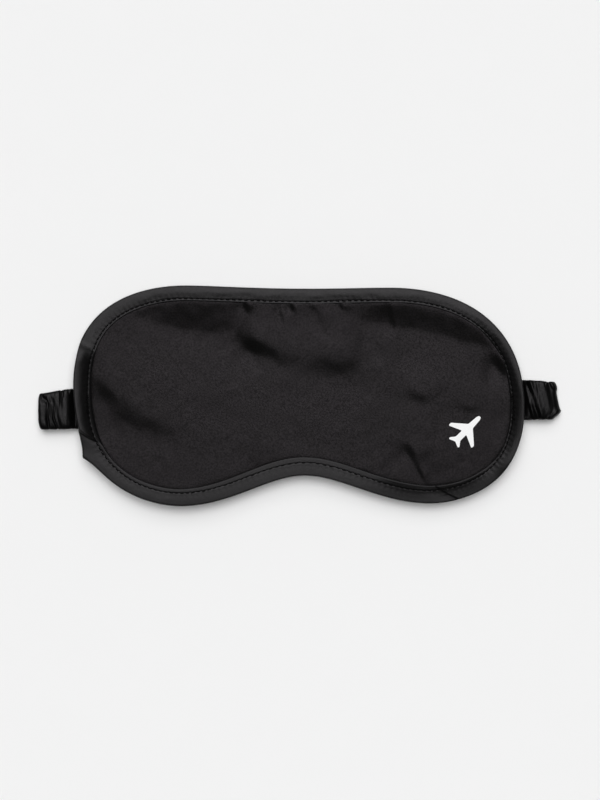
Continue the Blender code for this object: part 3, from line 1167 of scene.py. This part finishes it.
    def core(self, lining: bpy.types.Object) -> bpy.types.Object:
        """Model the foam as a closed pad that fills the room between both panels.

        Args:
            lining: The finished lining.

        Returns:
            The pad.
        """
        flat = self.grid(self.foam_inset)
        inside = self.cloth + self.foam_gap
        front = CUT.laid(flat, np.zeros(flat.shape[:2]))
        back = front.copy()
        for points, cover, face in ((front, self.panel, Face.FRONT), (back, lining, Face.BACK)):
            points[..., 2] = heights_on(cover, points, face) - face.value * inside
        numbers = numbered(flat)
        count = numbers.size
        rim = np.concatenate([numbers[0], numbers[1:, -1], numbers[-1, -2::-1], numbers[-2:0:-1, 0]])
        band = np.stack([rim, np.roll(rim, -1), np.roll(rim, -1) + count, rim + count], axis=1)[:, ::-1]
        faces = np.concatenate([grid_faces(numbers), grid_faces(numbers + count)[:, ::-1], band])
        made = add_mesh("foam_core", np.concatenate([front.reshape(-1, 3), back.reshape(-1, 3)]), faces)
        face_outwards(made)
        return made

    def build(self) -> None:
        self.shape()
        cut_width = 2.0 * (CUT.half_width - self.hem)
        cut_height = CUT.shoulder_y - CUT.lobe_y - 2.0 * self.hem
        self.panel = self.sheet("face_panel", self.front, Face.FRONT)
        lining = self.sheet("lining_panel", self.back, Face.BACK)
        foam = self.core(lining)
        dress(self.panel, PANEL_SATIN, ["front_panel"])
        dress(lining, LINING, ["back_panel"])
        dress(foam, FOAM, ["foam_pad"])
        for item in (self.panel, lining, foam):
            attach(item, Body.MASK.value)
        cut_area = self.cut_share * cut_width * cut_height


@dataclass(frozen=True)
class Stitching:
    """Thread: topstitches along the binding, their lower side, and a dense tack over each strap end."""

    radius: float = 0.00026
    length: float = 0.0009
    dive: float = 0.00040
    sink: float = 0.00024
    end_taper: float = 0.6
    sharp_angle: float = math.radians(50.0)
    facing: float = 0.9
    seat: float = 0.55
    probe: float = 0.0004
    wander: float = 0.00007
    sway: float = 0.07
    tacks: tuple[tuple[Hand, float, float], ...] = (
        (Hand.LEFT, 0.7445, 0.0085),
        (Hand.RIGHT, 0.2585, 0.0135),
    )
    tack_pitch: float = 0.00045
    tack_in: float = -0.0002
    tack_wander: float = 0.00025
    tack_yaw: float = 0.35
    tack_sway: float = 0.15
    tack_scale: float = 0.75
    sides: int = 8
    seed: int = 5

    def pattern(self) -> bpy.types.Object:
        """Model one stitch along X, its ends diving into the cloth."""
        bpy.ops.object.select_all(action="DESELECT")
        bpy.ops.mesh.primitive_cylinder_add(
            vertices=self.sides, radius=self.radius, depth=self.length, rotation=(0.0, math.pi / 2, 0.0)
        )
        made = bpy.context.active_object
        bpy.ops.object.transform_apply(location=True, rotation=True, scale=True)
        for end in (-1.0, 1.0):
            bpy.ops.object.mode_set(mode="EDIT")
            bpy.ops.mesh.select_mode(type="FACE")
            bpy.ops.mesh.select_all(action="DESELECT")
            cage = bmesh.from_edit_mesh(made.data)
            for flank in cage.faces:
                flank.select_set(flank.normal.x * end > self.facing)
            bmesh.update_edit_mesh(made.data)
            drop = {"value": (end * self.dive, 0.0, -self.sink)}
            bpy.ops.mesh.extrude_region_move(TRANSFORM_OT_translate=drop)
            bpy.ops.transform.resize(value=(1.0, self.end_taper, self.end_taper))
            bpy.ops.object.mode_set(mode="OBJECT")
        return made

    def sewn(self, name: str, places: Sequence[Matrix]) -> bpy.types.Object:
        """Copy the stitch to places, as one piece.

        Args:
            name: Name of the piece.
            places: Where each stitch goes.

        Returns:
            The sewn thread.
        """
        pattern = self.pattern()
        stitch = np.c_[read_points(pattern), np.ones(len(pattern.data.vertices))]
        faces = [np.array(face.vertices) for face in pattern.data.polygons]
        points = np.concatenate([(stitch @ np.array(place).T)[:, :3] for place in places])
        moved = [face + len(stitch) * number for number in range(len(places)) for face in faces]
        bpy.data.objects.remove(pattern)
        made = add_mesh(name, points, moved)
        made.data.set_sharp_from_angle(angle=self.sharp_angle)
        return made

    def place(self, turn: float, inset: float, face: Face, yaw: float, scale: float = 1.0) -> Matrix:
        """Frame of a stitch on the binding.

        Args:
            turn: Share of the way round.
            inset: Distance from the outer edge.
            face: Front or back.
            yaw: Angle from the edge's direction.
            scale: Length of the stitch against the pattern's.

        Returns:
            Matrix of the stitch.
        """
        step = self.probe / CUT.length
        turns = np.array((turn - step, turn + step, turn))
        before, after, point = BINDING.skin(turns, np.full(3, inset), face)
        ahead = Vector(after - before).normalized()
        up = Vector((0.0, 0.0, face.value))
        side = up.cross(ahead).normalized()
        up = ahead.cross(side)
        turned = Matrix((ahead, side, up)).transposed().to_4x4() @ Matrix.Rotation(yaw, 4, "Z")
        lifted = Vector(point) + up * (self.seat * self.radius)
        return Matrix.Translation(lifted) @ turned @ Matrix.Diagonal((scale, 1.0, 1.0, 1.0))

    def build(self) -> None:
        """Sew, dress and mount all stitches."""
        draw = np.random.default_rng(self.seed)
        count = BINDING.stitches
        places = []
        for face in Face:
            for number in range(count):
                turn = (number + 0.5) / count
                inset = float(BINDING.seam(np.array(turn))) + draw.normal(0.0, self.wander)
                places.append(self.place(turn, inset, face, draw.normal(0.0, self.sway)))
        topstitch = self.sewn("topstitches", places)
        dress(topstitch, THREAD, ["topstitch_thread"])
        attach(topstitch, Body.MASK.value)
        for hand, middle, length in self.tacks:
            places = []
            for along in np.arange(-0.5 * length, 0.5 * length, self.tack_pitch):
                turn = middle + along / CUT.length
                inset = float(BINDING.seam(np.array(turn))) + draw.normal(self.tack_in, self.tack_wander)
                lean = self.tack_yaw if len(places) % 2 else -self.tack_yaw
                yaw = math.pi / 2 + lean + draw.normal(0.0, self.tack_sway)
                places.append(self.place(turn, inset, Face.FRONT, yaw, self.tack_scale))
            tack = self.sewn("tack_stitches_" + hand.value, places)
            dress(tack, THREAD, ["strap_tack_" + hand.value])
            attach(tack, Body.MASK.value)


@dataclass(frozen=True)
class Gather:
    """Fold of the gathered sleeve: a ridge at a distance from the strap's middle, slanted across it."""

    station: float
    slant: float
    half_width: float
    height: float
    low: float = -BEYOND
    high: float = BEYOND
    fade_out: float = 0.25
    fade_in: float = 0.15
    flatness: int = 5

    def local(self, station: Array, across: Array, half_strap: float) -> tuple[Array, Array]:
        """Points as seen from the fold.

        Args:
            station: Distances from the strap's middle.
            across: Places across the strap, from -1 to 1.
            half_strap: Half the strap's width.

        Returns:
            Distances from the fold's line, 1 at its half width, and how much of the fold is left there.
        """
        offset = station - self.station - self.slant * across * half_strap
        fade = smooth_step(across, self.low - self.fade_out, self.low + self.fade_in)
        fade = fade * smooth_fall(across, self.high - self.fade_in, self.high + self.fade_out)
        return offset / self.half_width, fade

    def relief(self, station: Array, across: Array, half_strap: float) -> Array:
        """Height of a puff with a flat top."""
        offset, fade = self.local(station, across, half_strap)
        return self.height * fade * np.exp(-np.abs(offset) ** self.flatness)


class Pleat(Gather):
    """Sharp valley between two puffs."""

    def relief(self, station: Array, across: Array, half_strap: float) -> Array:
        """Depth of the valley."""
        offset, fade = self.local(station, across, half_strap)
        return self.height * fade * np.clip(1.0 - np.abs(offset), 0.0, None)


# Folds of the strap where it shows beside the mask
PUFFS = (
    Gather(-0.1210, 0.05, 0.0078, 0.0010),
    Gather(0.1245, 0.09, 0.0055, 0.0010),
    Gather(0.1150, 0.20, 0.0013, 0.0008, 0.62, 1.5),
    Gather(0.1165, 0.20, 0.0030, 0.0009, -1.5, -0.62),
)
# Creases in those folds, left end first
PLEATS = (
    Pleat(-0.1182, 0.10, 0.00075, 0.0012, -0.85, -0.05),
    Pleat(-0.1180, 0.10, 0.00055, 0.0008, 0.60, 1.5),
    Pleat(-0.1199, 0.34, 0.00065, 0.0011),
    Pleat(-0.1218, 0.25, 0.00130, 0.0004, -0.9, 0.7),
    Pleat(-0.1247, 0.00, 0.00080, 0.0011, 0.40, 1.5),
    Pleat(-0.1262, 0.10, 0.00070, 0.0006, 0.70, 1.5),
    Pleat(0.1222, 0.30, 0.00280, 0.0005),
    Pleat(0.1264, 0.32, 0.0019, 0.00118),
    Pleat(0.1295, 0.22, 0.0018, 0.0016),
)


@dataclass(frozen=True)
class Ridges:
    """Spread of the random ridges behind the mask, as ranges or as a mean and a deviation."""

    start: float = 0.002
    reach: Pair = (0.75, 1.45)
    slant: Pair = (-0.22, 0.12)
    whole: float = 0.6
    full: Pair = (-BEYOND, BEYOND)
    part: Pair = (-1.3, 1.3)
    height: float = 0.001
    height_spread: Pair = (0.7, 1.1)
    half: float = 0.36
    step: Pair = (0.7, 1.0)
    hidden_to: float = 0.1125
    hidden_from: float = 0.1328


@dataclass(frozen=True)
class Rim:
    """Spread of the short ridges along both rims, as ranges or as a mean and a deviation."""

    half: Pair = (0.00030, 0.00055)
    slant: Pair = (0.0, 0.25)
    inner: Pair = (0.66, 0.88)
    height: float = 0.001
    height_spread: Pair = (0.45, 0.95)
    step: Pair = (0.0009, 0.0021)
    shown_from: float = 0.113
    shown_to: float = 0.1315
    shorter: float = 0.14


RIDGES = Ridges()
RIM = Rim()


@dataclass
class GatheredStrap:
    """Satin sleeve gathered over a flat elastic, folded under the mask at both ends."""

    half_width: float = 0.0089
    core_half: float = 0.00085
    cloth: float = 0.0003
    low_z: float = 0.0015
    high_z: float = 0.0050
    fold_x: float = 0.11245
    left_square: float = 0.42
    right_square: float = 1.0
    dip: float = 0.0013
    dip_in: float = 0.0009
    dip_reach: float = 0.0020
    sewn_x: float = 0.0935
    line_y: float = -0.0039
    tilt: float = 0.01956
    elastic_half_width: float = 0.0060
    elastic_half: float = 0.0004
    gather_pitch: float = 0.0027
    around: int = 56
    end_step: float = 0.00018
    back_step: float = 0.00070
    ends_from: float = 0.104
    left_end_drop: float = 0.0018
    right_end_drop: float = 0.0010
    left_end_slant: float = 0.02
    right_end_slant: float = 0.18
    left_corner: float = 0.0004
    right_corner: float = 0.0042
    drop_over: Pair = (0.101, 0.116)
    slant_over: Pair = (0.107, 0.115)
    upper_part: Pair = (-0.4, 1.0)
    lower_corner: Pair = (0.5, 1.05)
    corner_lead: float = 0.15
    lowest: float = 0.00003
    section_power: float = 0.5
    crossing: int = 4
    wrinkle: float = 0.03
    wrinkle_size: float = 0.0022
    wrinkle_stretch: float = 0.35
    shows_from: Pair = (0.1115, 0.1150)
    shows_to: Pair = (0.1285, 0.1302)
    room: float = 0.00070
    room_shown: float = 0.00055
    room_aside: float = 0.00042
    full_ridge: float = 0.0011
    least_rise: float = 0.00005
    pleat_aside: float = 0.35
    aside_in: float = 0.0003
    end_ease: float = 0.004
    end_rise: float = 0.35
    elastic_in: float = 0.0012
    elastic_rows: int = 420
    elastic_around: int = 24
    elastic_power: float = 0.3
    stretch_from: float = 0.084
    seed: int = 8

    @property
    def radius(self) -> float:
        """Radius of the fold at each end, to the middle of the strap."""
        return (self.high_z - self.low_z) / 2.0

    @property
    def half_length(self) -> float:
        """Length of the strap from its middle to a sewn end."""
        return 2.0 * self.fold_x - self.sewn_x + math.pi * self.radius

    @property
    def edge_station(self) -> float:
        """Distance from the strap's middle to where it leaves the mask's edge."""
        return self.half_length - (CUT.half_width - self.sewn_x)

    def path(self, stations: Array) -> tuple[Array, Array]:
        """Line of the strap, along and up.

        Args:
            stations: Distances from the middle, negative to the left.

        Returns:
            Points and outward directions, as X and Z.
        """
        reach = np.abs(stations)
        angle = np.clip((reach - self.fold_x) / self.radius, 0.0, math.pi)
        past = np.maximum(reach - self.fold_x - math.pi * self.radius, 0.0)
        way = np.stack([np.sin(angle), -np.cos(angle)], axis=-1)
        square = np.where(stations < 0, self.left_square, self.right_square)[..., None]
        out = np.sign(way) * np.abs(way) ** square
        x = np.minimum(reach, self.fold_x) + self.radius * out[..., 0] - past
        z = self.low_z + self.radius * (1.0 + out[..., 1])
        z = z - self.dip * hump(reach, self.edge_station + self.dip_in, self.dip_reach)
        side = np.sign(stations)
        return np.stack([side * x, z], axis=-1), np.stack([side * out[..., 0], out[..., 1]], axis=-1)

    def swept(self, stations: Array, across: Array, out: Array) -> Array:
        """Points of the strap in space.

        Args:
            stations: Distances from the middle.
            across: Distances across the strap.
            out: Heights over its middle surface.

        Returns:
            Points.
        """
        line, outward = self.path(stations)
        spot = line + outward * out[..., None]
        along = spot[..., 0]
        upper = smooth_step(across / self.half_width, *self.upper_part)
        drawn_in = np.where(along < 0, self.left_end_drop, self.right_end_drop)
        across = across - drawn_in * upper * smooth_step(np.abs(along), *self.drop_over)
        slant = np.where(along < 0, self.left_end_slant, self.right_end_slant)
        corner = np.where(along < 0, self.left_corner, self.right_corner)
        lower = smooth_step(-across / self.half_width, *self.lower_corner)
        short = slant * across + corner * (lower - self.corner_lead)
        along = along - np.sign(along) * short * smooth_step(np.abs(along), *self.slant_over)
        cos, sin = math.cos(self.tilt), math.sin(self.tilt)
        x = along * cos - across * sin
        y = self.line_y + along * sin + across * cos
        return np.stack([x, y, np.maximum(spot[..., 1], self.lowest)], axis=-1)

    def gathers(self) -> list[Gather]:
        """Ridges of the whole sleeve: puffs that show, random ridges behind, short ones at both rims."""
        draw = np.random.default_rng(self.seed)
        made = list(PUFFS)
        station = RIDGES.start - self.half_length
        while station < self.half_length:
            reach = draw.uniform(*RIDGES.reach)
            slant = draw.normal(*RIDGES.slant)
            whole = draw.random() < RIDGES.whole
            low, high = RIDGES.full if whole else sorted(draw.uniform(*RIDGES.part, 2))
            height = RIDGES.height * draw.uniform(*RIDGES.height_spread)
            if not RIDGES.hidden_to <= abs(station) <= RIDGES.hidden_from:
                half = RIDGES.half * reach * self.gather_pitch
                made.append(Gather(station, slant, half, height, low, high))
            station += reach * self.gather_pitch * draw.uniform(*RIDGES.step)
        for edge in (-1.0, 1.0):
            station = -self.half_length
            while station < self.half_length:
                half = draw.uniform(*RIM.half)
                slant = draw.normal(*RIM.slant)
                inner = draw.uniform(*RIM.inner)
                height = draw.uniform(*RIM.height_spread) * RIM.height
                if RIM.shown_from < abs(station) < RIM.shown_to:
                    inner += RIM.shorter
                low, high = (inner, BEYOND) if edge > 0 else (-BEYOND, -inner)
                made.append(Gather(station, slant, half, height, low, high))
                station += draw.uniform(*RIM.step)
        return made

    def pleats(self, station: Array, across: Array) -> Array:
        """Depth of the deepest valley at each point of the sleeve."""
        return np.max([pleat.relief(station, across, self.half_width) for pleat in PLEATS], axis=0)

    def stations(self) -> Array:
        """Rows of the sleeve, closer together where it shows."""
        back = np.linspace(-self.ends_from, self.ends_from, round(2 * self.ends_from / self.back_step))
        end_rows = round((self.half_length - self.ends_from) / self.end_step)
        end = np.linspace(self.ends_from, self.half_length, end_rows)
        return np.concatenate([-end[:0:-1], back, end[1:]])

    def ring(self, stations: Array, count: int, power: float) -> tuple[Array, Array, Array, Array]:
        """Rows along the strap and points round its squarish section.

        Args:
            stations: Distances from the strap's middle.
            count: Points round the section.
            power: Squareness of its faces, 1 for an ellipse.

        Returns:
            Stations, angles, and places across and out of the strap from -1 to 1.
        """
        angles = np.arange(count) * math.tau / count
        station, angle = np.meshgrid(stations, angles, indexing="ij")
        cos = np.cos(angle)
        sin = np.sin(angle)
        across = np.sign(cos) * np.abs(cos) ** self.section_power
        return station, angle, across, np.sign(sin) * np.abs(sin) ** power

    def sleeve(self) -> bpy.types.Object:
        """Model the sleeve as a gathered tube of thin cloth."""
        station, angle, across, out = self.ring(self.stations(), self.around, self.section_power)
        total = np.zeros_like(station)
        for ridge in self.gathers():
            total += ridge.relief(station, across, self.half_width) ** self.crossing
        ridges = total ** (1.0 / self.crossing)
        grain = Unevenness(self.seed + 1, self.wrinkle_size)
        wrinkle = grain.at(station, self.wrinkle_stretch * across * self.half_width)
        ridges = ridges * (1.0 + self.wrinkle * wrinkle)
        depth = self.pleats(station, across)
        reach = np.abs(station)
        shown = smooth_step(reach, *self.shows_from) * smooth_fall(reach, *self.shows_to)
        room = np.where(out > 0, self.room + self.room_shown * shown, self.room)
        full = np.tanh(ridges / self.full_ridge) / math.tanh(1.0)
        rise = np.maximum(room * full - np.where(out > 0, depth, 0.0), self.least_rise)
        side_rise = self.room_aside * full - self.pleat_aside * depth
        half = self.half_width - self.aside_in + side_rise
        ease = smooth_step(self.half_length - reach, 0.0, self.end_ease)
        height = self.core_half + rise * (self.end_rise + (1.0 - self.end_rise) * ease)
        points = self.swept(station, across * half, out * height)
        made = add_mesh("strap_sleeve", points.reshape(-1, 3), grid_faces(numbered(points), False, True))
        self.unwrap(made, station, angle)
        face_outwards(made)
        apply_modifier(made, "SOLIDIFY", thickness=self.cloth, offset=-1.0)
        return made

    def unwrap(self, item: bpy.types.Object, station: Array, angle: Array) -> None:
        """Give a swept piece a UV map in metres along and round it.

        Args:
            item: The piece.
            station: Distance along for each vertex.
            angle: Angle round for each vertex.
        """
        layer = item.data.uv_layers.new(name="along_and_round")
        corners = np.empty(len(item.data.loops), np.int32)
        item.data.loops.foreach_get("vertex_index", corners)
        round_it = angle.ravel() * 2.0 * self.half_width / math.pi
        flat = np.stack([station.ravel()[corners], round_it[corners]], axis=1)
        layer.data.foreach_set("uv", flat.astype(np.float32).ravel())

    def elastic(self) -> bpy.types.Object:
        """Model the elastic as a flat ribbed band inside the sleeve."""
        end = self.half_length - self.elastic_in
        stations = np.linspace(-end, end, self.elastic_rows)
        station, angle, across, out = self.ring(stations, self.elastic_around, self.elastic_power)
        points = self.swept(station, across * self.elastic_half_width, out * self.elastic_half)
        numbers = numbered(points)
        caps = [numbers[0], numbers[-1, ::-1]]
        faces = [*grid_faces(numbers, False, True), *caps]
        made = add_mesh("strap_elastic_band", points.reshape(-1, 3), faces)
        for cap in made.data.polygons[-len(caps):]:
            cap.use_smooth = False
        self.unwrap(made, station, angle)
        face_outwards(made)
        return made

    def stretch(self, item: bpy.types.Object) -> None:
        """Let a piece stretch from the strap's middle, which stays, to the mask, which moves.

        Args:
            item: The sleeve or the elastic.
        """
        layer = item.data.uv_layers["along_and_round"]
        flat = np.empty(2 * len(item.data.loops), np.float32)
        layer.data.foreach_get("uv", flat)
        corners = np.empty(len(item.data.loops), np.int32)
        item.data.loops.foreach_get("vertex_index", corners)
        reach = np.zeros(len(item.data.vertices))
        reach[corners] = np.abs(flat[::2])
        share = np.clip((reach - self.stretch_from) / (self.edge_station - self.stretch_from), 0.0, 1.0)
        share = 0.5 * share + 0.5 * smooth_step(share, 0.0, 1.0)
        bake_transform(item, Body.STRAP.value, Body.MASK.value, (0.0, 0.0, self.low_z), (0.0, 0.0, self.high_z))
        weights = item.data.attributes["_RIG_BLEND"]
        weights.data.foreach_set("value", share.astype(np.float32))

    def build(self) -> None:
        """Model and dress the sleeve and the elastic, and let both stretch from the strap to the mask."""
        sides = ("", "_left", "_right")
        sleeve = self.sleeve()
        elastic = self.elastic()
        dress(sleeve, STRAP_SATIN, ["strap_casing" + side for side in sides])
        dress(elastic, ELASTIC, ["strap_elastic" + side for side in sides])
        for item in (sleeve, elastic):
            self.stretch(item)


@dataclass(frozen=True)
class PlanePrint:
    """White aeroplane sign printed on the front panel, flying to the upper right."""

    tail: Pair = (0.0698, -0.0199)
    heading: float = math.pi / 4
    length: float = 0.0150
    body_half: float = 0.00135
    nose_half: float = 0.00100
    wing_front: float = 0.0091
    wing_back: float = 0.0050
    wing_tip: Pair = (0.0031, 0.0073)
    tip_chord: float = 0.0015
    fin_front: float = 0.0012
    fin_tip: Pair = (-0.0013, 0.0031)
    fin_chord: float = 0.0008
    notch: float = -0.0005
    nose_taper: float = 0.0012
    tip_ahead: float = 0.55
    tip_rake: float = 0.0002
    fin_ahead: float = 0.4
    fin_behind: float = 0.5
    fin_rake: float = 0.0004
    rounding: float = 0.0006
    most_rounding: float = 0.45
    arc_points: int = 6
    film: float = 0.00004
    cell: float = 0.0008

    def half(self) -> list[Pair]:
        """Corners of one half, along the body and out from it, from the nose to the tail."""
        tip_x, tip_y = self.wing_tip
        fin_x, fin_y = self.fin_tip
        return [
            (self.length, 0.5 * self.nose_half),
            (self.length - self.nose_taper, self.nose_half),
            (self.wing_front, self.body_half),
            (tip_x + self.tip_ahead * self.tip_chord, tip_y),
            (tip_x - (1.0 - self.tip_ahead) * self.tip_chord, tip_y - self.tip_rake),
            (self.wing_back, self.body_half),
            (self.fin_front, self.body_half),
            (fin_x + self.fin_ahead * self.fin_chord, fin_y),
            (fin_x - self.fin_behind * self.fin_chord, fin_y - self.fin_rake),
        ]

    def outline(self) -> Array:
        """Rounded outline of the sign on the panel, one row for each point."""
        half = self.half()
        corners = np.array(half + [(self.notch, 0.0)] + [(x, -y) for x, y in reversed(half)])
        shares = np.linspace(0.0, 1.0, self.arc_points)[:, None]
        rounded = []
        befores = np.roll(corners, 1, axis=0)
        afters = np.roll(corners, -1, axis=0)
        for before, corner, after in zip(befores, corners, afters):
            start, end = (
                corner + way * min(self.rounding / np.linalg.norm(way), self.most_rounding)
                for way in (before - corner, after - corner)
            )
            rounded.append((1 - shares) ** 2 * start + 2 * shares * (1 - shares) * corner + shares**2 * end)
        turn = np.array(Matrix.Rotation(self.heading, 2))
        return np.concatenate(rounded) @ turn.T + self.tail

    def build(self, panel: bpy.types.Object) -> None:
        """Draw the sign, cut it into cells, lay it on the panel and mount it.

        Args:
            panel: The front panel.
        """
        flat = self.outline()
        made = add_mesh("plane_print", np.c_[flat, np.zeros(len(flat))], [range(len(flat))])
        select_only(made)
        bpy.ops.object.mode_set(mode="EDIT")
        bpy.ops.mesh.select_all(action="SELECT")
        bpy.ops.mesh.quads_convert_to_tris()
        for axis in (0, 1):
            across = np.eye(3)[axis]
            for place in np.arange(flat[:, axis].min() + self.cell / 2, flat[:, axis].max(), self.cell):
                bpy.ops.mesh.select_all(action="SELECT")
                bpy.ops.mesh.bisect(plane_co=across * place, plane_no=across)
        bpy.ops.object.mode_set(mode="OBJECT")
        points = read_points(made)
        points[:, 2] = heights_on(panel, points, Face.FRONT) + self.film
        write_points(made, points)
        apply_modifier(made, "SOLIDIFY", thickness=self.film, offset=-1.0)
        made.data.shade_flat()
        dress(made, PRINT_INK)
        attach(made, Body.MASK.value)


@dataclass(frozen=True)
class Studio:
    """Pale floor, soft light and the camera straight above."""

    pixel: float = 0.000445
    tall: int = 800
    lens: float = 85.0
    sensor: float = 36.0
    plane_z: float = 0.0062
    centre: Pair = (0.00056, -0.00189)
    floor_half: float = 4.0
    lamps: Pairs = ((35.0, 0.28), (11.0, 0.645))
    lamp_angle: float = 46.0
    zenith: float = 0.06
    horizon: float = 0.42
    horizon_top: float = 0.45

    def camera(self) -> None:
        """Look straight down, so that a pixel covers its size on the mask."""
        data = bpy.data.cameras.new("camera")
        data.lens = self.lens
        data.sensor_width = self.sensor
        distance = self.pixel * self.tall * self.lens / self.sensor
        made = bpy.data.objects.new("camera", data)
        made.location = (*self.centre, self.plane_z + distance)
        bpy.context.scene.collection.objects.link(made)
        bpy.context.scene.camera = made

    def floor(self) -> None:
        """Lay the floor under the strap."""
        bpy.ops.object.select_all(action="DESELECT")
        bpy.ops.mesh.primitive_plane_add(size=2.0 * self.floor_half)
        made = bpy.context.active_object
        made.name = "floor"
        made.data.materials.append(FLOOR_PAPER.material())

    def light(self) -> None:
        """Hang two broad lamps that lean to the top edge, in a dim room that is paler low down."""
        for number, (lean, share) in enumerate(self.lamps):
            lamp = bpy.data.lights.new(f"lamp_{number}", "SUN")
            way = Vector((0.0, math.tan(math.radians(lean)), 1.0)).normalized()
            lamp.energy = share * math.pi / way.z
            lamp.angle = math.radians(self.lamp_angle)
            made = bpy.data.objects.new(lamp.name, lamp)
            made.rotation_mode = "QUATERNION"
            made.rotation_quaternion = way.to_track_quat("Z", "Y")
            bpy.context.scene.collection.objects.link(made)
        world = bpy.data.worlds.new("room")
        bpy.context.scene.world = world
        shading = Shading(world)
        way = shading.coordinates("Generated")
        height = shading.node("ShaderNodeSeparateXYZ", {}, {0: way}, "Z")
        span = {"interpolation_type": "SMOOTHSTEP"}
        ends = {"Value": height, "From Min": 0.0, "From Max": self.horizon_top}
        ends.update({"To Min": self.horizon, "To Max": self.zenith})
        level = shading.node("ShaderNodeMapRange", span, ends)
        glow = shading.node("ShaderNodeBackground", {}, {"Color": (1.0, 1.0, 1.0, 1.0), "Strength": level})
        shading.node("ShaderNodeOutputWorld", {}, {"Surface": glow})

    def build(self) -> None:
        """Set the whole scene round the mask."""
        bpy.context.scene.view_settings.view_transform = "Standard"
        self.camera()
        self.floor()
        self.light()


def main() -> None:
    """Build the studio and every piece."""
    logging.basicConfig(level=logging.INFO, format="%(name)s: %(message)s")
    Studio().build()
    GatheredStrap().build()
    padding = PaddedMask()
    padding.build()
    strip = dress(BINDING.build(), BINDING_SATIN, ["edge_binding"])
    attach(strip, Body.MASK.value)
    Stitching().build()
    PlanePrint().build(padding.panel)


if __name__ == "__main__":
    main()
